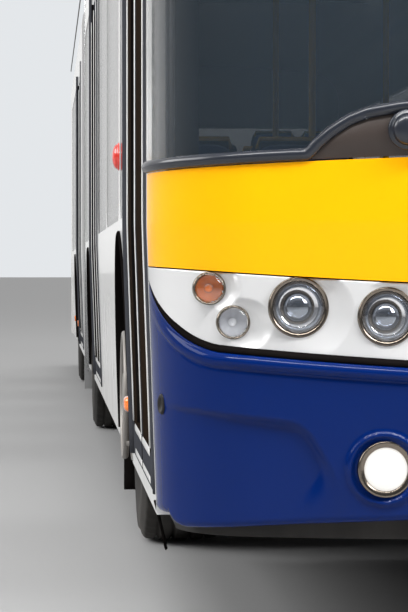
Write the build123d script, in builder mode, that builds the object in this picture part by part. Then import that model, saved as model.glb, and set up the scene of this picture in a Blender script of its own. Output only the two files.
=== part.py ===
from build123d import *
import math
import os

os.makedirs("parts", exist_ok=True)

# Low-floor articulated city bus, three axles, three two-leaf doors that glide inward.
# Millimetres. +Y is the rear, +X the driver's side, the doors are at -X, +Z is up.
# The origin is on the ground, at the middle of the length and width.

# Overall body
WIDTH = 2550
ROOF_Z = 2850
ROOF_UNIT_Z = 3080
CANT_Z = 2400
KNEE_Z = 1000
SKIRT_Z = 300
SKIRT_LEAN = 24
WALL = 45
SKIN = 6
FLOOR_Z = 320
FLOOR_THICK = 50
BODY_BOTTOM_Z = 200

# What stands in a row from the nose to the tail
BUMPER_PROUD = 22
NOSE_DEPTH = 440
DOOR_FROM_NOSE = 88
POST_SPAN = 1320
DOOR_TO_ARCH = 240
ARCH_R = 590
WHEELBASE_1 = 5900
WHEELBASE_2 = 6000
REAR_OVERHANG = 3400
PIVOT_BEHIND_AXLE = 1700
JOINT_HALF_GAP = 650
FRONT_OVERHANG = BUMPER_PROUD + NOSE_DEPTH + DOOR_FROM_NOSE + POST_SPAN + DOOR_TO_ARCH + ARCH_R
LENGTH = FRONT_OVERHANG + WHEELBASE_1 + WHEELBASE_2 + REAR_OVERHANG
FRONT_AXLE_Y = -LENGTH / 2 + FRONT_OVERHANG
MIDDLE_AXLE_Y = FRONT_AXLE_Y + WHEELBASE_1
REAR_AXLE_Y = MIDDLE_AXLE_Y + WHEELBASE_2
PIVOT_Y = MIDDLE_AXLE_Y + PIVOT_BEHIND_AXLE
FRONT_END_Y = PIVOT_Y - JOINT_HALF_GAP
REAR_START_Y = PIVOT_Y + JOINT_HALF_GAP

# Rounded nose and tail, seen from above
HALF_W = WIDTH / 2
NOSE_Y = -LENGTH / 2 + BUMPER_PROUD
NOSE_CORNER_R = 320
SCREEN_RAKE = 150
SCREEN_TOP_CORNER_R = 240
TAIL_DEPTH = 230
TAIL_CORNER_R = 180
NOSE_SIDE_Y = NOSE_Y + NOSE_DEPTH
TAIL_Y = LENGTH / 2
TAIL_SIDE_Y = TAIL_Y - TAIL_DEPTH

# Tyres and wheels
TYRE_R = 478.5
TYRE_W = 276
TREAD_R_DROP = 14
SHOULDER_W = 26
SHOULDER_DROP = 22
SHOULDER_LEAN = 6
SIDEWALL_DROP = 90
BEAD_INSET = 34
BEAD_RISE = 40
BEAD_LEAN = 8
RIM_R = 280
RIM_LIP = 10
BARREL_INSET = 15
SEAT_GAP = 0.3
TYRE_BORE_R = RIM_R + SEAT_GAP
DUAL_SPACING = 314
FRONT_TYRE_INSET = 60
DUAL_TYRE_INSET = 28
FRONT_TRACK_X = HALF_W - FRONT_TYRE_INSET - TYRE_W / 2
DUAL_OUTER_X = HALF_W - DUAL_TYRE_INSET - TYRE_W / 2
DUAL_INNER_X = DUAL_OUTER_X - DUAL_SPACING
KINGPIN_INSET = 150
KINGPIN_X = FRONT_TRACK_X - KINGPIN_INSET
HUB_R = 95
NUT_CIRCLE_R = 167.5
NUT_R = 16
NUT_H = 26
GUARD_RING_W = 16
GUARD_RING_H = 34
NUT_COUNT = 10
HAND_HOLE_CIRCLE_R = 237
HAND_HOLE_R = 18
HAND_HOLE_COUNT = 10
HAND_HOLE_REACH = 80
GUARD_R = 216
ARCH_Z = 430
WHEELHOUSE_HALF = 605
WHEELHOUSE_TOP = 1030
WHEELHOUSE_SHEET = 14
FRONT_HOUSE_X = HALF_W - 700
DUAL_HOUSE_X = HALF_W - 715

# Gliding doors: a post at each jamb carries its leaf by an arm above and an arm below it
DOOR_SIDE = -1
ARM = POST_SPAN / 4
POST_R = 18
POST_CLEAR = 5
LEAF_THICK = 40
LEAF_PROUD = 3
LEAF_BOTTOM_Z = 348
LEAF_TOP_Z = 2200
LEAF_JAMB_GAP = 29
LEAF_MEET_GAP = 8
LEAF_FRAME = 58
GUARD_W = 22
ARM_W = 34
ARM_THICK = 14
ARM_GAP = 7
PIN_R = 8
PIN_CLEAR = SEAT_GAP
POCKET = 48
COVER_EDGE = 24
DOOR_GAP = 6
DOOR_LINE_X = HALF_W - SKIRT_LEAN - SKIN - POST_CLEAR - POST_R
POCKET_TOP_Z = LEAF_TOP_Z + ARM_THICK + 2 * ARM_GAP + DOOR_GAP

DOOR_2_TO_AXLE = 1110
DOOR_3_FROM_END = 670

# name, body, Y of the front post
DOORS = [
    ("door_1", "front", NOSE_SIDE_Y + DOOR_FROM_NOSE),
    ("door_2", "front", MIDDLE_AXLE_Y - DOOR_2_TO_AXLE - POST_SPAN),
    ("door_3", "rear", REAR_START_Y + DOOR_3_FROM_END),
]
DOOR_1_END, DOOR_2_END, DOOR_3_END = [post_y + POST_SPAN for name, body, post_y in DOORS]

# Windows
WINDOW_Z0 = 1080
WINDOW_Z1 = 2290
WINDOW_R = 50
GLASS = 6
REBATE = 8
REBATE_EDGE = 24
GLASS_GAP = 1
DOOR_PILLAR = 120
END_PILLAR = 90
WINDOW_PILLAR = 70
AXLE_PILLAR = 80
CAB_WINDOW = 1100
TAIL_PILLAR = 1020


def bays(side, y0, y1, count):
    """Windows of one size that share the run from y0 to y1, as (side, Y from, Y to)."""
    size = (y1 - y0 - (count - 1) * WINDOW_PILLAR) / count
    starts = [y0 + i * (size + WINDOW_PILLAR) for i in range(count)]
    return [(side, start, start + size) for start in starts]


CAB_WINDOW_END = NOSE_SIDE_Y + END_PILLAR + CAB_WINDOW
FRONT_WINDOWS = [
    *bays(-1, DOOR_1_END + DOOR_PILLAR + 20, FRONT_AXLE_Y - AXLE_PILLAR, 1),
    *bays(-1, FRONT_AXLE_Y + AXLE_PILLAR, DOORS[1][2] - DOOR_PILLAR, 2),
    *bays(-1, DOOR_2_END + DOOR_PILLAR, FRONT_END_Y - END_PILLAR, 1),
    *bays(1, NOSE_SIDE_Y + END_PILLAR, CAB_WINDOW_END, 1),
    *bays(1, CAB_WINDOW_END + WINDOW_PILLAR, FRONT_END_Y - END_PILLAR, 4),
]
REAR_WINDOWS = [
    *bays(-1, DOOR_3_END + DOOR_PILLAR, TAIL_SIDE_Y - TAIL_PILLAR, 2),
    *bays(1, REAR_START_Y + END_PILLAR, TAIL_SIDE_Y - TAIL_PILLAR, 3),
]

# Front panels, measured up from the ground and in from the side
PANEL_THICK = 20
FRAME_THICK = 24
PANEL_GAP = 3
THROUGH = 200
YELLOW_TOP_SIDE_Z = 1121
YELLOW_TOP_MID_Z = 1158
SHELL_TOP_Z = YELLOW_TOP_MID_Z + 10
YELLOW_BOTTOM_SIDE_Z = 900
YELLOW_BOTTOM_MID_Z = 848
LIP_TIP_Z = 862
LIP_BEND_Z = 765
LIP_SHOULDER_Z = 703
LIP_MID_Z = 650
LIP_BEND_INSET = 42
LIP_SHOULDER_INSET = 150
BUMPER_BOTTOM_SIDE_Z = 282
BUMPER_BOTTOM_MID_Z = 335
SCREEN_OVER_PANEL = 24
SCREEN_INSET = 12
SCREEN_GLASS = 8
COWL_HALF = HALF_W - 360
COWL_TOP_Z = 1275
COWL_OVER_SCREEN = 12
COWL_SHOULDER = 110
COWL_SHOULDER_DROP = 35
COWL_FLAT = 260
COWL_FOOT = 60
WIPER_X = 695
WIPER_Z = 1209
WIPER_LENGTH = 640
WIPER_H = 24
WIPER_LIFT = 26
WIPER_THICK = 16
WIPER_BOSS_R = 40
WIPER_BOSS_H = 34

# Lamps on each side of the nose: inset from the side, height, bezel radius, lens radius,
# how far the bezel stands proud, and how far its scoop opens inboard and down
LAMPS = [
    (134, 848, 38.5, 32, 10, 24, 0),
    (188, 770, 39.5, 33.5, 0, 44, 20),
    (335, 805, 70, 60, 0, 50, 32),
    (534, 784, 68, 58, -4, 50, 32),
]
FOG_LAMP = (530, 436, 65, 50, BUMPER_PROUD, 0, 0)
LAMP_DEPTH = 60
LENS_SET = 8
SCOOP_FLARE = 40
SCOOP_WIDENING = 0.35

# Forms of the bumper
LIP_H = 32
LIP_ROLL = 8
LIP_END = 20
BUMPER_CORNER_R = 30
BEAD_R = 88
BEAD_W = 12
BEAD_ROLL = 6
FACET_FACE = 4
FACET_CORNER_R = 45
FACET = [(HALF_W + 40, 556), (924, 540), (847, 400), (830, 250), (HALF_W + 40, 250)]

# Lamps on the sides: side, Y, height
DOME_R = 46
DOME_PROUD = 26
MARKER_H = 50
MARKER_LENGTH = 110
MARKER_PROUD = 12
MARKER_Z = 484
DOMES = [(-1, FRONT_AXLE_Y, 1265), (1, FRONT_AXLE_Y - 900, 930)]
FIRST_MARKER_Y = FRONT_AXLE_Y - ARCH_R - 75
FRONT_MARKERS = [(-1, FIRST_MARKER_Y), (1, FIRST_MARKER_Y), (1, MIDDLE_AXLE_Y - 2600)]
REAR_MARKERS = [(side, REAR_AXLE_Y + way * (ARCH_R + 400)) for side in (-1, 1) for way in (-1, 1)]

# Joint between the two sections
DISC_R = 780
DISC_THICK = 30
DISC_CLEAR = 8
TONGUE_HALF = 700
HUB_PIN_R = 40
BEARING_R = 420
HOOP_HALF = 30
HOOP_THICK = 50
HOOP_BAR_Z0 = 140
BELLOWS_BOTTOM_Z = 335
BELLOWS_CORNER_R = 260
BELLOWS_INSET = 30
BELLOWS_DEPTH = 75
BELLOWS_CLOTH = 12
BELLOWS_FOLDS = 6
BELLOWS_TOP_Z = ROOF_Z - 40

# Engine and its hatch
HATCH_HALF = HALF_W - 375
HATCH_Z0 = 480
HATCH_Z1 = 1280
HATCH_GAP = 6
HATCH_THICK = 30
HINGE_R = 9
HINGE_PIN_R = 4
HINGE_LENGTH = 70
HINGE_NOTCH = 16
HINGE_PLACES = (260 - HATCH_HALF, HATCH_HALF - 260)
HATCH_Y = TAIL_Y - 40
HINGE_Y = HATCH_Y + HATCH_THICK
HINGE_Z = HATCH_Z1 - 6
REAR_GLASS_HALF = HALF_W - 275
REAR_GLASS_Z0 = 1500
REAR_GLASS_Z1 = 2250

# Seats in rows, each row given by its side and the Y of its front edge
SEAT_W = 440
SEAT_DEPTH = 430
SEAT_Z = 450
SEAT_BACK_H = 640
SEAT_THICK = 70
SEAT_WALL_GAP = 35
SEAT_X = HALF_W - WALL - SEAT_WALL_GAP - SEAT_W
SEAT_PITCH = 750
SEAT_REACH = SEAT_DEPTH + 120
REAR_PLATFORM_Z = 1060
REAR_PLATFORM_Y = TAIL_SIDE_Y - 1565


def rows(side, y0, y1):
    """Rows of seats that fit from y0 to y1."""
    return [(side, y0 + i * SEAT_PITCH) for i in range(int((y1 - y0 - SEAT_REACH) // SEAT_PITCH) + 1)]


HOUSE_END = WHEELHOUSE_HALF + 100
FRONT_SEAT_ROWS = [
    *rows(1, FRONT_AXLE_Y + HOUSE_END + 95, MIDDLE_AXLE_Y - HOUSE_END),
    *rows(-1, FRONT_AXLE_Y + HOUSE_END + 95, DOORS[1][2] - POCKET),
]
REAR_SEAT_ROWS = [
    *rows(1, REAR_START_Y + 550, REAR_AXLE_Y - HOUSE_END),
    *rows(-1, DOOR_3_END + POCKET + 230, REAR_AXLE_Y - WHEELHOUSE_HALF),
    *rows(1, REAR_AXLE_Y + HOUSE_END, REAR_PLATFORM_Y),
    *rows(-1, REAR_AXLE_Y + HOUSE_END, REAR_PLATFORM_Y),
]
TOP_SEAT_ROWS = [(1, REAR_PLATFORM_Y + 150), (-1, REAR_PLATFORM_Y + 150)]


def section_plane(y):
    """Plane across the bus at y, seen from the front: local x is X, local y is Z."""
    return Plane(origin=(0, y, 0), x_dir=(1, 0, 0), z_dir=(0, -1, 0))


def side_plane(x=0):
    """Plane along the bus at x: local x is Y, local y is Z, the normal is +X."""
    return Plane(origin=(x, 0, 0), x_dir=(0, 1, 0), z_dir=(1, 0, 0))


def keep(name, part):
    part.label = name
    export_step(part, f"parts/{name}.step")


def skin_x(z):
    """Half width of the body at height z."""
    if z >= KNEE_Z:
        return HALF_W
    return HALF_W - SKIRT_LEAN * (KNEE_Z - z) / (KNEE_Z - SKIRT_Z)


def strip(side, d0, d1, z0, z1, y0, y1, mode=Mode.ADD):
    """A run of body side from inset d0 to inset d1, following the bend at the knee."""
    outer = [(skin_x(z) - d0, z) for z in (z0, KNEE_Z, z1) if z != KNEE_Z or z0 < KNEE_Z < z1]
    inner = [(skin_x(z) - d1, z) for z in (z1, KNEE_Z, z0) if z != KNEE_Z or z0 < KNEE_Z < z1]
    points = [(side * x, z) for x, z in outer + inner]
    with BuildSketch(section_plane(y1)) as outline:
        with BuildLine():
            Polyline(*points, close=True)
        make_face()
    extrude(outline.sketch, amount=y1 - y0, mode=mode)


def wall_hole(side, y0, y1, z0, z1, radius, d0, d1):
    """Cut a rounded hole in a side wall between insets d0 and d1."""
    x_from = HALF_W - d1
    with BuildSketch(side_plane(side * x_from)) as hole:
        with Locations(((y0 + y1) / 2, (z0 + z1) / 2)):
            RectangleRounded(y1 - y0, z1 - z0, radius)
    extrude(hole.sketch, amount=side * (d1 - d0), mode=Mode.SUBTRACT)


def cap_points(corner_y, apex_y, corner_r, inset):
    """Side point, middle of the corner arc, its inner end and the apex of a rounded end."""
    way = 1 if apex_y > corner_y else -1
    depth = abs(apex_y - corner_y)
    cx = HALF_W - corner_r
    crown_r = (cx**2 + depth**2 - corner_r**2) / (2 * (depth - corner_r))
    turn = math.asin(cx / (crown_r - corner_r))
    r = corner_r - inset
    half_turn = (turn + math.pi / 2) / 2
    side = (HALF_W - inset, corner_y)
    middle = (cx + r * math.sin(half_turn), corner_y + way * r * math.cos(half_turn))
    tangent = (cx + r * math.sin(turn), corner_y + way * r * math.cos(turn))
    return side, middle, tangent, (0, apex_y - way * inset)


def cap_y(x, corner_y, apex_y, corner_r, inset):
    """Y of a rounded end's surface at x."""
    way = 1 if apex_y > corner_y else -1
    depth = abs(apex_y - corner_y)
    cx = HALF_W - corner_r
    crown_r = (cx**2 + depth**2 - corner_r**2) / (2 * (depth - corner_r))
    tangent_x = cap_points(corner_y, apex_y, corner_r, inset)[2][0]
    if abs(x) > tangent_x:
        return corner_y + way * math.sqrt((corner_r - inset) ** 2 - (abs(x) - cx) ** 2)
    return apex_y - way * (crown_r - math.sqrt((crown_r - inset) ** 2 - x**2))


def cap_face(corner_y, apex_y, corner_r, inset, back_y, mode=Mode.ADD):
    """Outline of a rounded end from above, closed at back_y."""
    side, middle, tangent, apex = cap_points(corner_y, apex_y, corner_r, inset)
    with BuildLine() as outline:
        if back_y != corner_y:
            Line((-side[0], back_y), (-side[0], side[1]))
        ThreePointArc((-side[0], side[1]), (-middle[0], middle[1]), (-tangent[0], tangent[1]))
        ThreePointArc((-tangent[0], tangent[1]), apex, tangent)
        ThreePointArc(tangent, middle, side)
        if back_y != corner_y:
            Line(side, (side[0], back_y))
        Line((side[0], back_y), (-side[0], back_y))
    make_face(outline.edges(), mode=mode)


def nose_ring(z, inset, thick, apex_y=NOSE_Y, corner_r=NOSE_CORNER_R, proud=0):
    """A C-shaped band around the nose in the plane at height z; proud moves its face forward."""
    with BuildSketch(Plane.XY.offset(z)) as ring:
        cap_face(NOSE_SIDE_Y, apex_y - proud, corner_r + proud / 2, inset, NOSE_SIDE_Y)
        cap_face(NOSE_SIDE_Y, apex_y, corner_r, inset + thick, NOSE_SIDE_Y + 50, Mode.SUBTRACT)
    return ring.sketch


def nose_shell(inset, thick, z_top, z_low=SKIRT_Z - 40, proud=0):
    """The nose's skin: leaning in below the knee, upright above it."""
    lean = HALF_W - skin_x(z_low)
    knee = nose_ring(KNEE_Z, inset, thick, proud=proud)
    loft([nose_ring(z_low, inset + lean, thick, proud=proud), knee])
    extrude(knee, amount=z_top - KNEE_Z)


def lamp_holes(clear):
    """Cut the round seats of the front lamps."""
    for side, x, z, bezel_r, *form in lamp_places():
        with BuildSketch(section_plane(NOSE_SIDE_Y + THROUGH / 10)) as hole:
            with Locations((x, z)):
                Circle(bezel_r + clear)
        extrude(hole.sketch, amount=NOSE_DEPTH + THROUGH, mode=Mode.SUBTRACT)


def scoops():
    """Cut the flared recess that opens inboard and down from each lamp."""
    for side, x, z, bezel_r, lens_r, proud, inboard, down in lamp_places():
        if inboard:
            face_y = lamp_y(x) - proud
            with BuildSketch(section_plane(face_y)) as root:
                with Locations((x, z)):
                    Circle(bezel_r + PANEL_GAP)
            with BuildSketch(section_plane(face_y - SCOOP_FLARE)) as mouth:
                with Locations((x - side * inboard, z - down)):
                    Circle(bezel_r + PANEL_GAP + SCOOP_WIDENING * inboard)
            loft([root.sketch, mouth.sketch], mode=Mode.SUBTRACT)


def front_view_cut(points_builder):
    """Keep only what lies inside an outline drawn in the front view."""
    with BuildSketch(section_plane(NOSE_SIDE_Y + THROUGH / 10)) as outline:
        points_builder()
    extrude(outline.sketch, amount=NOSE_DEPTH + THROUGH, mode=Mode.INTERSECT)


def lip_line(drop):
    """Upper edge of the bumper, shared with the lamp panel above it."""
    left = [
        (-HALF_W, LIP_TIP_Z - drop),
        (-HALF_W + LIP_BEND_INSET, LIP_BEND_Z - drop),
        (-HALF_W + LIP_SHOULDER_INSET, LIP_SHOULDER_Z - drop),
    ]
    right = [(-x, z) for x, z in left]
    ThreePointArc(left[0], left[1], left[2])
    ThreePointArc(left[2], (0, LIP_MID_Z - drop), right[2])
    ThreePointArc(right[2], right[1], right[0])


def yellow_outline():
    w = HALF_W + 1
    with BuildLine() as outline:
        ThreePointArc((-w, YELLOW_TOP_SIDE_Z), (0, YELLOW_TOP_MID_Z), (w, YELLOW_TOP_SIDE_Z))
        Line((w, YELLOW_TOP_SIDE_Z), (w, YELLOW_BOTTOM_SIDE_Z))
        ThreePointArc((w, YELLOW_BOTTOM_SIDE_Z), (0, YELLOW_BOTTOM_MID_Z), (-w, YELLOW_BOTTOM_SIDE_Z))
        Line((-w, YELLOW_BOTTOM_SIDE_Z), (-w, YELLOW_TOP_SIDE_Z))
    make_face(outline.edges())


def lamp_panel_outline():
    top = YELLOW_BOTTOM_SIDE_Z - PANEL_GAP
    with BuildLine() as outline:
        lip_line(0)
        Line((HALF_W, LIP_TIP_Z), (HALF_W, top))
        ThreePointArc((HALF_W, top), (0, YELLOW_BOTTOM_MID_Z - PANEL_GAP), (-HALF_W, top))
        Line((-HALF_W, top), (-HALF_W, LIP_TIP_Z))
    make_face(outline.edges())


def bumper_outline():
    corner_x = skin_x(SKIRT_Z)
    foot_x = corner_x - BUMPER_CORNER_R
    foot_z = BUMPER_BOTTOM_SIDE_Z
    corner_z = foot_z + BUMPER_CORNER_R
    with BuildLine() as outline:
        lip_line(PANEL_GAP)
        Line((HALF_W, LIP_TIP_Z - PANEL_GAP), (HALF_W, KNEE_Z / 2))
        Line((HALF_W, KNEE_Z / 2), (corner_x, corner_z))
        RadiusArc((corner_x, corner_z), (foot_x, foot_z), BUMPER_CORNER_R)
        ThreePointArc((foot_x, foot_z), (0, BUMPER_BOTTOM_MID_Z), (-foot_x, foot_z))
        RadiusArc((-foot_x, foot_z), (-corner_x, corner_z), BUMPER_CORNER_R)
        Line((-corner_x, corner_z), (-HALF_W, KNEE_Z / 2))
        Line((-HALF_W, KNEE_Z / 2), (-HALF_W, LIP_TIP_Z - PANEL_GAP))
    make_face(outline.edges())


def lip_outline():
    """Band along the bumper's upper edge, ending short of the sides."""
    low = PANEL_GAP + LIP_H
    with BuildLine() as outline:
        lip_line(PANEL_GAP)
        Line((HALF_W, LIP_TIP_Z - PANEL_GAP), (HALF_W, LIP_TIP_Z - low))
        lip_line(low)
        Line((-HALF_W, LIP_TIP_Z - low), (-HALF_W, LIP_TIP_Z - PANEL_GAP))
    make_face(outline.edges())
    Rectangle(2 * (HALF_W - LIP_END), 4 * LIP_TIP_Z, mode=Mode.INTERSECT)


def bead_outline():
    """Ring around each fog lamp."""
    inset, z = FOG_LAMP[:2]
    for side in (-1, 1):
        with Locations((side * (HALF_W - inset), z)):
            Circle(BEAD_R)
            Circle(BEAD_R - BEAD_W, mode=Mode.SUBTRACT)


def facet_outline():
    """Sunken field of the bumper below its step, outboard of each fog lamp."""
    for side in (-1, 1):
        corners = [(side * x, z) for x, z in FACET]
        with BuildLine() as outline:
            FilletPolyline(*corners, radius=FACET_CORNER_R, close=True)
        make_face(outline.edges())


def sunken_form(face, outline):
    """Cut the nose back inside an outline, to a face that stands proud of the body's own."""
    with BuildPart(mode=Mode.PRIVATE) as room:
        nose_shell(-THROUGH / 4 - face, THROUGH / 4, SHELL_TOP_Z)
        front_view_cut(outline)
    add(room.part, mode=Mode.SUBTRACT)


def raised_form(proud, outline):
    """Add a form that stands proud of the nose inside an outline."""
    with BuildPart(mode=Mode.PRIVATE) as form:
        nose_shell(0, PANEL_THICK / 2, SHELL_TOP_Z, proud=proud)
        front_view_cut(outline)
    add(form.part)


def cowl_outline():
    side_low = YELLOW_TOP_SIDE_Z + 2 * PANEL_GAP
    middle_low = YELLOW_TOP_MID_Z + 2 * PANEL_GAP
    high = SCREEN_OVER_PANEL + COWL_OVER_SCREEN
    foot = COWL_HALF + COWL_FOOT
    flat = COWL_HALF - COWL_FLAT
    shoulder = COWL_HALF - COWL_SHOULDER
    shoulder_z = COWL_TOP_Z - COWL_SHOULDER_DROP
    foot_z = screen_edge_z(foot) + high
    with BuildLine() as outline:
        Line((-HALF_W, side_low), (-HALF_W, YELLOW_TOP_SIDE_Z + high))
        Line((-HALF_W, YELLOW_TOP_SIDE_Z + high), (-foot, foot_z))
        ThreePointArc((-foot, foot_z), (-shoulder, shoulder_z), (-flat, COWL_TOP_Z))
        Line((-flat, COWL_TOP_Z), (flat, COWL_TOP_Z))
        ThreePointArc((flat, COWL_TOP_Z), (shoulder, shoulder_z), (foot, foot_z))
        Line((foot, foot_z), (HALF_W, YELLOW_TOP_SIDE_Z + high))
        Line((HALF_W, YELLOW_TOP_SIDE_Z + high), (HALF_W, side_low))
        ThreePointArc((HALF_W, side_low), (0, middle_low), (-HALF_W, side_low))
    make_face(outline.edges())


def screen_edge_z(x):
    """Height of the yellow panel's arched top edge at x."""
    return YELLOW_TOP_MID_Z - (YELLOW_TOP_MID_Z - YELLOW_TOP_SIDE_Z) * (x / HALF_W) ** 2


def screen_outline():
    side_z = YELLOW_TOP_SIDE_Z + SCREEN_OVER_PANEL
    with BuildLine() as outline:
        ThreePointArc((-HALF_W, side_z), (0, YELLOW_TOP_MID_Z + SCREEN_OVER_PANEL), (HALF_W, side_z))
        Line((HALF_W, side_z), (HALF_W, CANT_Z + 50))
        Line((HALF_W, CANT_Z + 50), (-HALF_W, CANT_Z + 50))
        Line((-HALF_W, CANT_Z + 50), (-HALF_W, side_z))
    make_face(outline.edges())


def lamp_y(x):
    """Y of the lamp panel's face at x."""
    return cap_y(x, NOSE_SIDE_Y, NOSE_Y, NOSE_CORNER_R, 0)


def lamp_places():
    """Every front lamp: side, X, height and the rest of its row in the table."""
    for side in (-1, 1):
        for inset, z, *form in (*LAMPS, FOG_LAMP):
            yield side, side * (HALF_W - inset), z, *form


# Side walls: extruded section with rebated windows, door pockets and wheel arches
def side_wall(side, start_y, end_y, windows, doors, arches):
    with BuildPart() as wall:
        strip(side, 0, WALL, SKIRT_Z, CANT_Z, start_y, end_y)
        for window_side, w0, w1 in windows:
            if window_side == side:
                for edge, depth in ((0, WALL + 5), (REBATE_EDGE, REBATE)):
                    z0 = WINDOW_Z0 - edge
                    z1 = WINDOW_Z1 + edge
                    wall_hole(side, w0 - edge, w1 + edge, z0, z1, WINDOW_R + edge, -5, depth)
        for post_y in doors:
            far_y = post_y + POST_SPAN
            z0 = LEAF_BOTTOM_Z - DOOR_GAP
            z1 = LEAF_TOP_Z + DOOR_GAP
            strip(side, -5, WALL + 5, z0, z1, post_y + COVER_EDGE, far_y - COVER_EDGE, Mode.SUBTRACT)
            y0 = post_y - POCKET
            strip(side, SKIN, WALL + 5, FLOOR_Z, POCKET_TOP_Z, y0, far_y + POCKET, Mode.SUBTRACT)
        for arch_y in arches:
            with BuildSketch(side_plane(side * (HALF_W - WALL - SKIRT_LEAN - 5))) as arch:
                with Locations((arch_y, ARCH_Z)):
                    Circle(ARCH_R)
                with Locations((arch_y, ARCH_Z - ARCH_R / 2)):
                    Rectangle(2 * ARCH_R, ARCH_R)
            extrude(arch.sketch, amount=side * (WALL + SKIRT_LEAN + 15), mode=Mode.SUBTRACT)
    return wall.part


front_doors = [y for name, body, y in DOORS if body == "front"]
rear_doors = [y for name, body, y in DOORS if body == "rear"]
front_arches = [FRONT_AXLE_Y, MIDDLE_AXLE_Y]
for side, label in ((-1, "right"), (1, "left")):
    doors = front_doors if side == DOOR_SIDE else []
    wall = side_wall(side, NOSE_SIDE_Y, FRONT_END_Y, FRONT_WINDOWS, doors, front_arches)
    keep(f"front_{label}_side", wall)
    doors = rear_doors if side == DOOR_SIDE else []
    wall = side_wall(side, REAR_START_Y, TAIL_SIDE_Y, REAR_WINDOWS, doors, [REAR_AXLE_Y])
    keep(f"rear_{label}_side", wall)


# Panes bonded in the rebates
def panes(windows):
    for side, w0, w1 in windows:
        edge = REBATE_EDGE - GLASS_GAP
        with BuildSketch(side_plane(side * (HALF_W - REBATE))) as pane:
            with Locations(((w0 + w1) / 2, (WINDOW_Z0 + WINDOW_Z1) / 2)):
                RectangleRounded(w1 - w0 + 2 * edge, WINDOW_Z1 - WINDOW_Z0 + 2 * edge, WINDOW_R + edge)
        extrude(pane.sketch, amount=side * GLASS)


with BuildPart() as front_windows:
    panes(FRONT_WINDOWS)
keep("front_windows", front_windows.part)

with BuildPart() as rear_windows:
    panes(REAR_WINDOWS)
    tail_glass_y = TAIL_Y - REBATE + 1
    with BuildSketch(section_plane(tail_glass_y)):
        with Locations((0, (REAR_GLASS_Z0 + REAR_GLASS_Z1) / 2)):
            RectangleRounded(2 * REAR_GLASS_HALF, REAR_GLASS_Z1 - REAR_GLASS_Z0, WINDOW_R)
    extrude(amount=GLASS)
keep("rear_windows", rear_windows.part)


# Roof: one arched shell for each section, closed by the rounded end
ROOF_EDGE_X = HALF_W - 240
ROOF_EDGE_Z = ROOF_Z - 62
ROOF_SPRING = 90
ROOF_BEND_INSET = 62
ROOF_BEND_DROP = 105


def roof_face(inset, mode=Mode.ADD):
    low = CANT_Z - (20 if inset else 0)
    w = HALF_W - inset
    spring_z = CANT_Z + ROOF_SPRING
    edge_x = ROOF_EDGE_X - inset / 2
    edge_z = ROOF_EDGE_Z - inset
    bend_x = HALF_W - ROOF_BEND_INSET - inset
    bend_z = ROOF_EDGE_Z - ROOF_BEND_DROP - inset / 2
    with BuildLine() as outline:
        Line((w, low), (w, spring_z))
        ThreePointArc((w, spring_z), (bend_x, bend_z), (edge_x, edge_z))
        ThreePointArc((edge_x, edge_z), (0, ROOF_Z - inset), (-edge_x, edge_z))
        ThreePointArc((-edge_x, edge_z), (-bend_x, bend_z), (-w, spring_z))
        Line((-w, spring_z), (-w, low))
        Line((-w, low), (w, low))
    make_face(outline.edges(), mode=mode)


def roof(y0, y1, corner_y, apex_y, corner_r, open_y):
    with BuildPart() as shell:
        with BuildSketch(section_plane(y1)):
            roof_face(0)
        extrude(amount=y1 - y0)
        with BuildSketch(Plane.XY.offset(CANT_Z - 1)):
            cap_face(corner_y, apex_y, corner_r, 0, open_y)
        extrude(amount=ROOF_Z - CANT_Z + 10, mode=Mode.INTERSECT)
        with BuildPart(mode=Mode.PRIVATE) as inside:
            with BuildSketch(section_plane(y1 + 100)):
                roof_face(WALL)
            extrude(amount=y1 - y0 + 200)
            with BuildSketch(Plane.XY.offset(CANT_Z - 30)):
                cap_face(corner_y, apex_y, corner_r, WALL, open_y + (100 if open_y > apex_y else -100))
            extrude(amount=ROOF_Z, mode=Mode.INTERSECT)
        add(inside.part, mode=Mode.SUBTRACT)
    return shell


SCREEN_TOP_Y = NOSE_Y + SCREEN_RAKE
FRONT_UNIT_Y = FRONT_AXLE_Y + 1700
FRONT_UNIT_LENGTH = 3200
REAR_UNIT_Y = REAR_AXLE_Y - 1300
REAR_UNIT_LENGTH = 2600
UNIT_INSET = 420
UNIT_SINK = 20
UNIT_CORNER_R = 120
UNIT_EDGE_R = 60
UNIT_TAPER = 8
HATCH_LID_W = 900
HATCH_LID_LENGTH = 700
HATCH_LID_SINK = 30
HATCH_LID_HEIGHT = 75
FRONT_HATCHES = (FRONT_AXLE_Y - 900, MIDDLE_AXLE_Y - 500)
REAR_HATCH = REAR_AXLE_Y + 900


def roof_unit(y, length):
    """Covered unit on the roof, centred on y."""
    with BuildSketch(Plane.XY.offset(ROOF_EDGE_Z - UNIT_SINK)) as foot:
        with Locations((0, y)):
            RectangleRounded(WIDTH - 2 * UNIT_INSET, length, UNIT_CORNER_R)
    extrude(foot.sketch, amount=ROOF_UNIT_Z - ROOF_EDGE_Z + UNIT_SINK, taper=UNIT_TAPER)


def roof_hatch(y):
    """Raised lid of a roof hatch, centred on y."""
    with BuildSketch(Plane.XY.offset(ROOF_Z - HATCH_LID_SINK)) as lid:
        with Locations((0, y)):
            RectangleRounded(HATCH_LID_W, HATCH_LID_LENGTH, 80)
    extrude(lid.sketch, amount=HATCH_LID_HEIGHT, taper=20)


with BuildPart() as front_roof:
    shell = roof(SCREEN_TOP_Y - 10, FRONT_END_Y, NOSE_SIDE_Y, SCREEN_TOP_Y, SCREEN_TOP_CORNER_R, FRONT_END_Y)
    add(shell.part)
    roof_unit(FRONT_UNIT_Y, FRONT_UNIT_LENGTH)
    fillet(front_roof.faces().sort_by(Axis.Z)[-1].edges(), UNIT_EDGE_R)
    for y in FRONT_HATCHES:
        roof_hatch(y)
keep("front_roof", front_roof.part)

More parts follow.
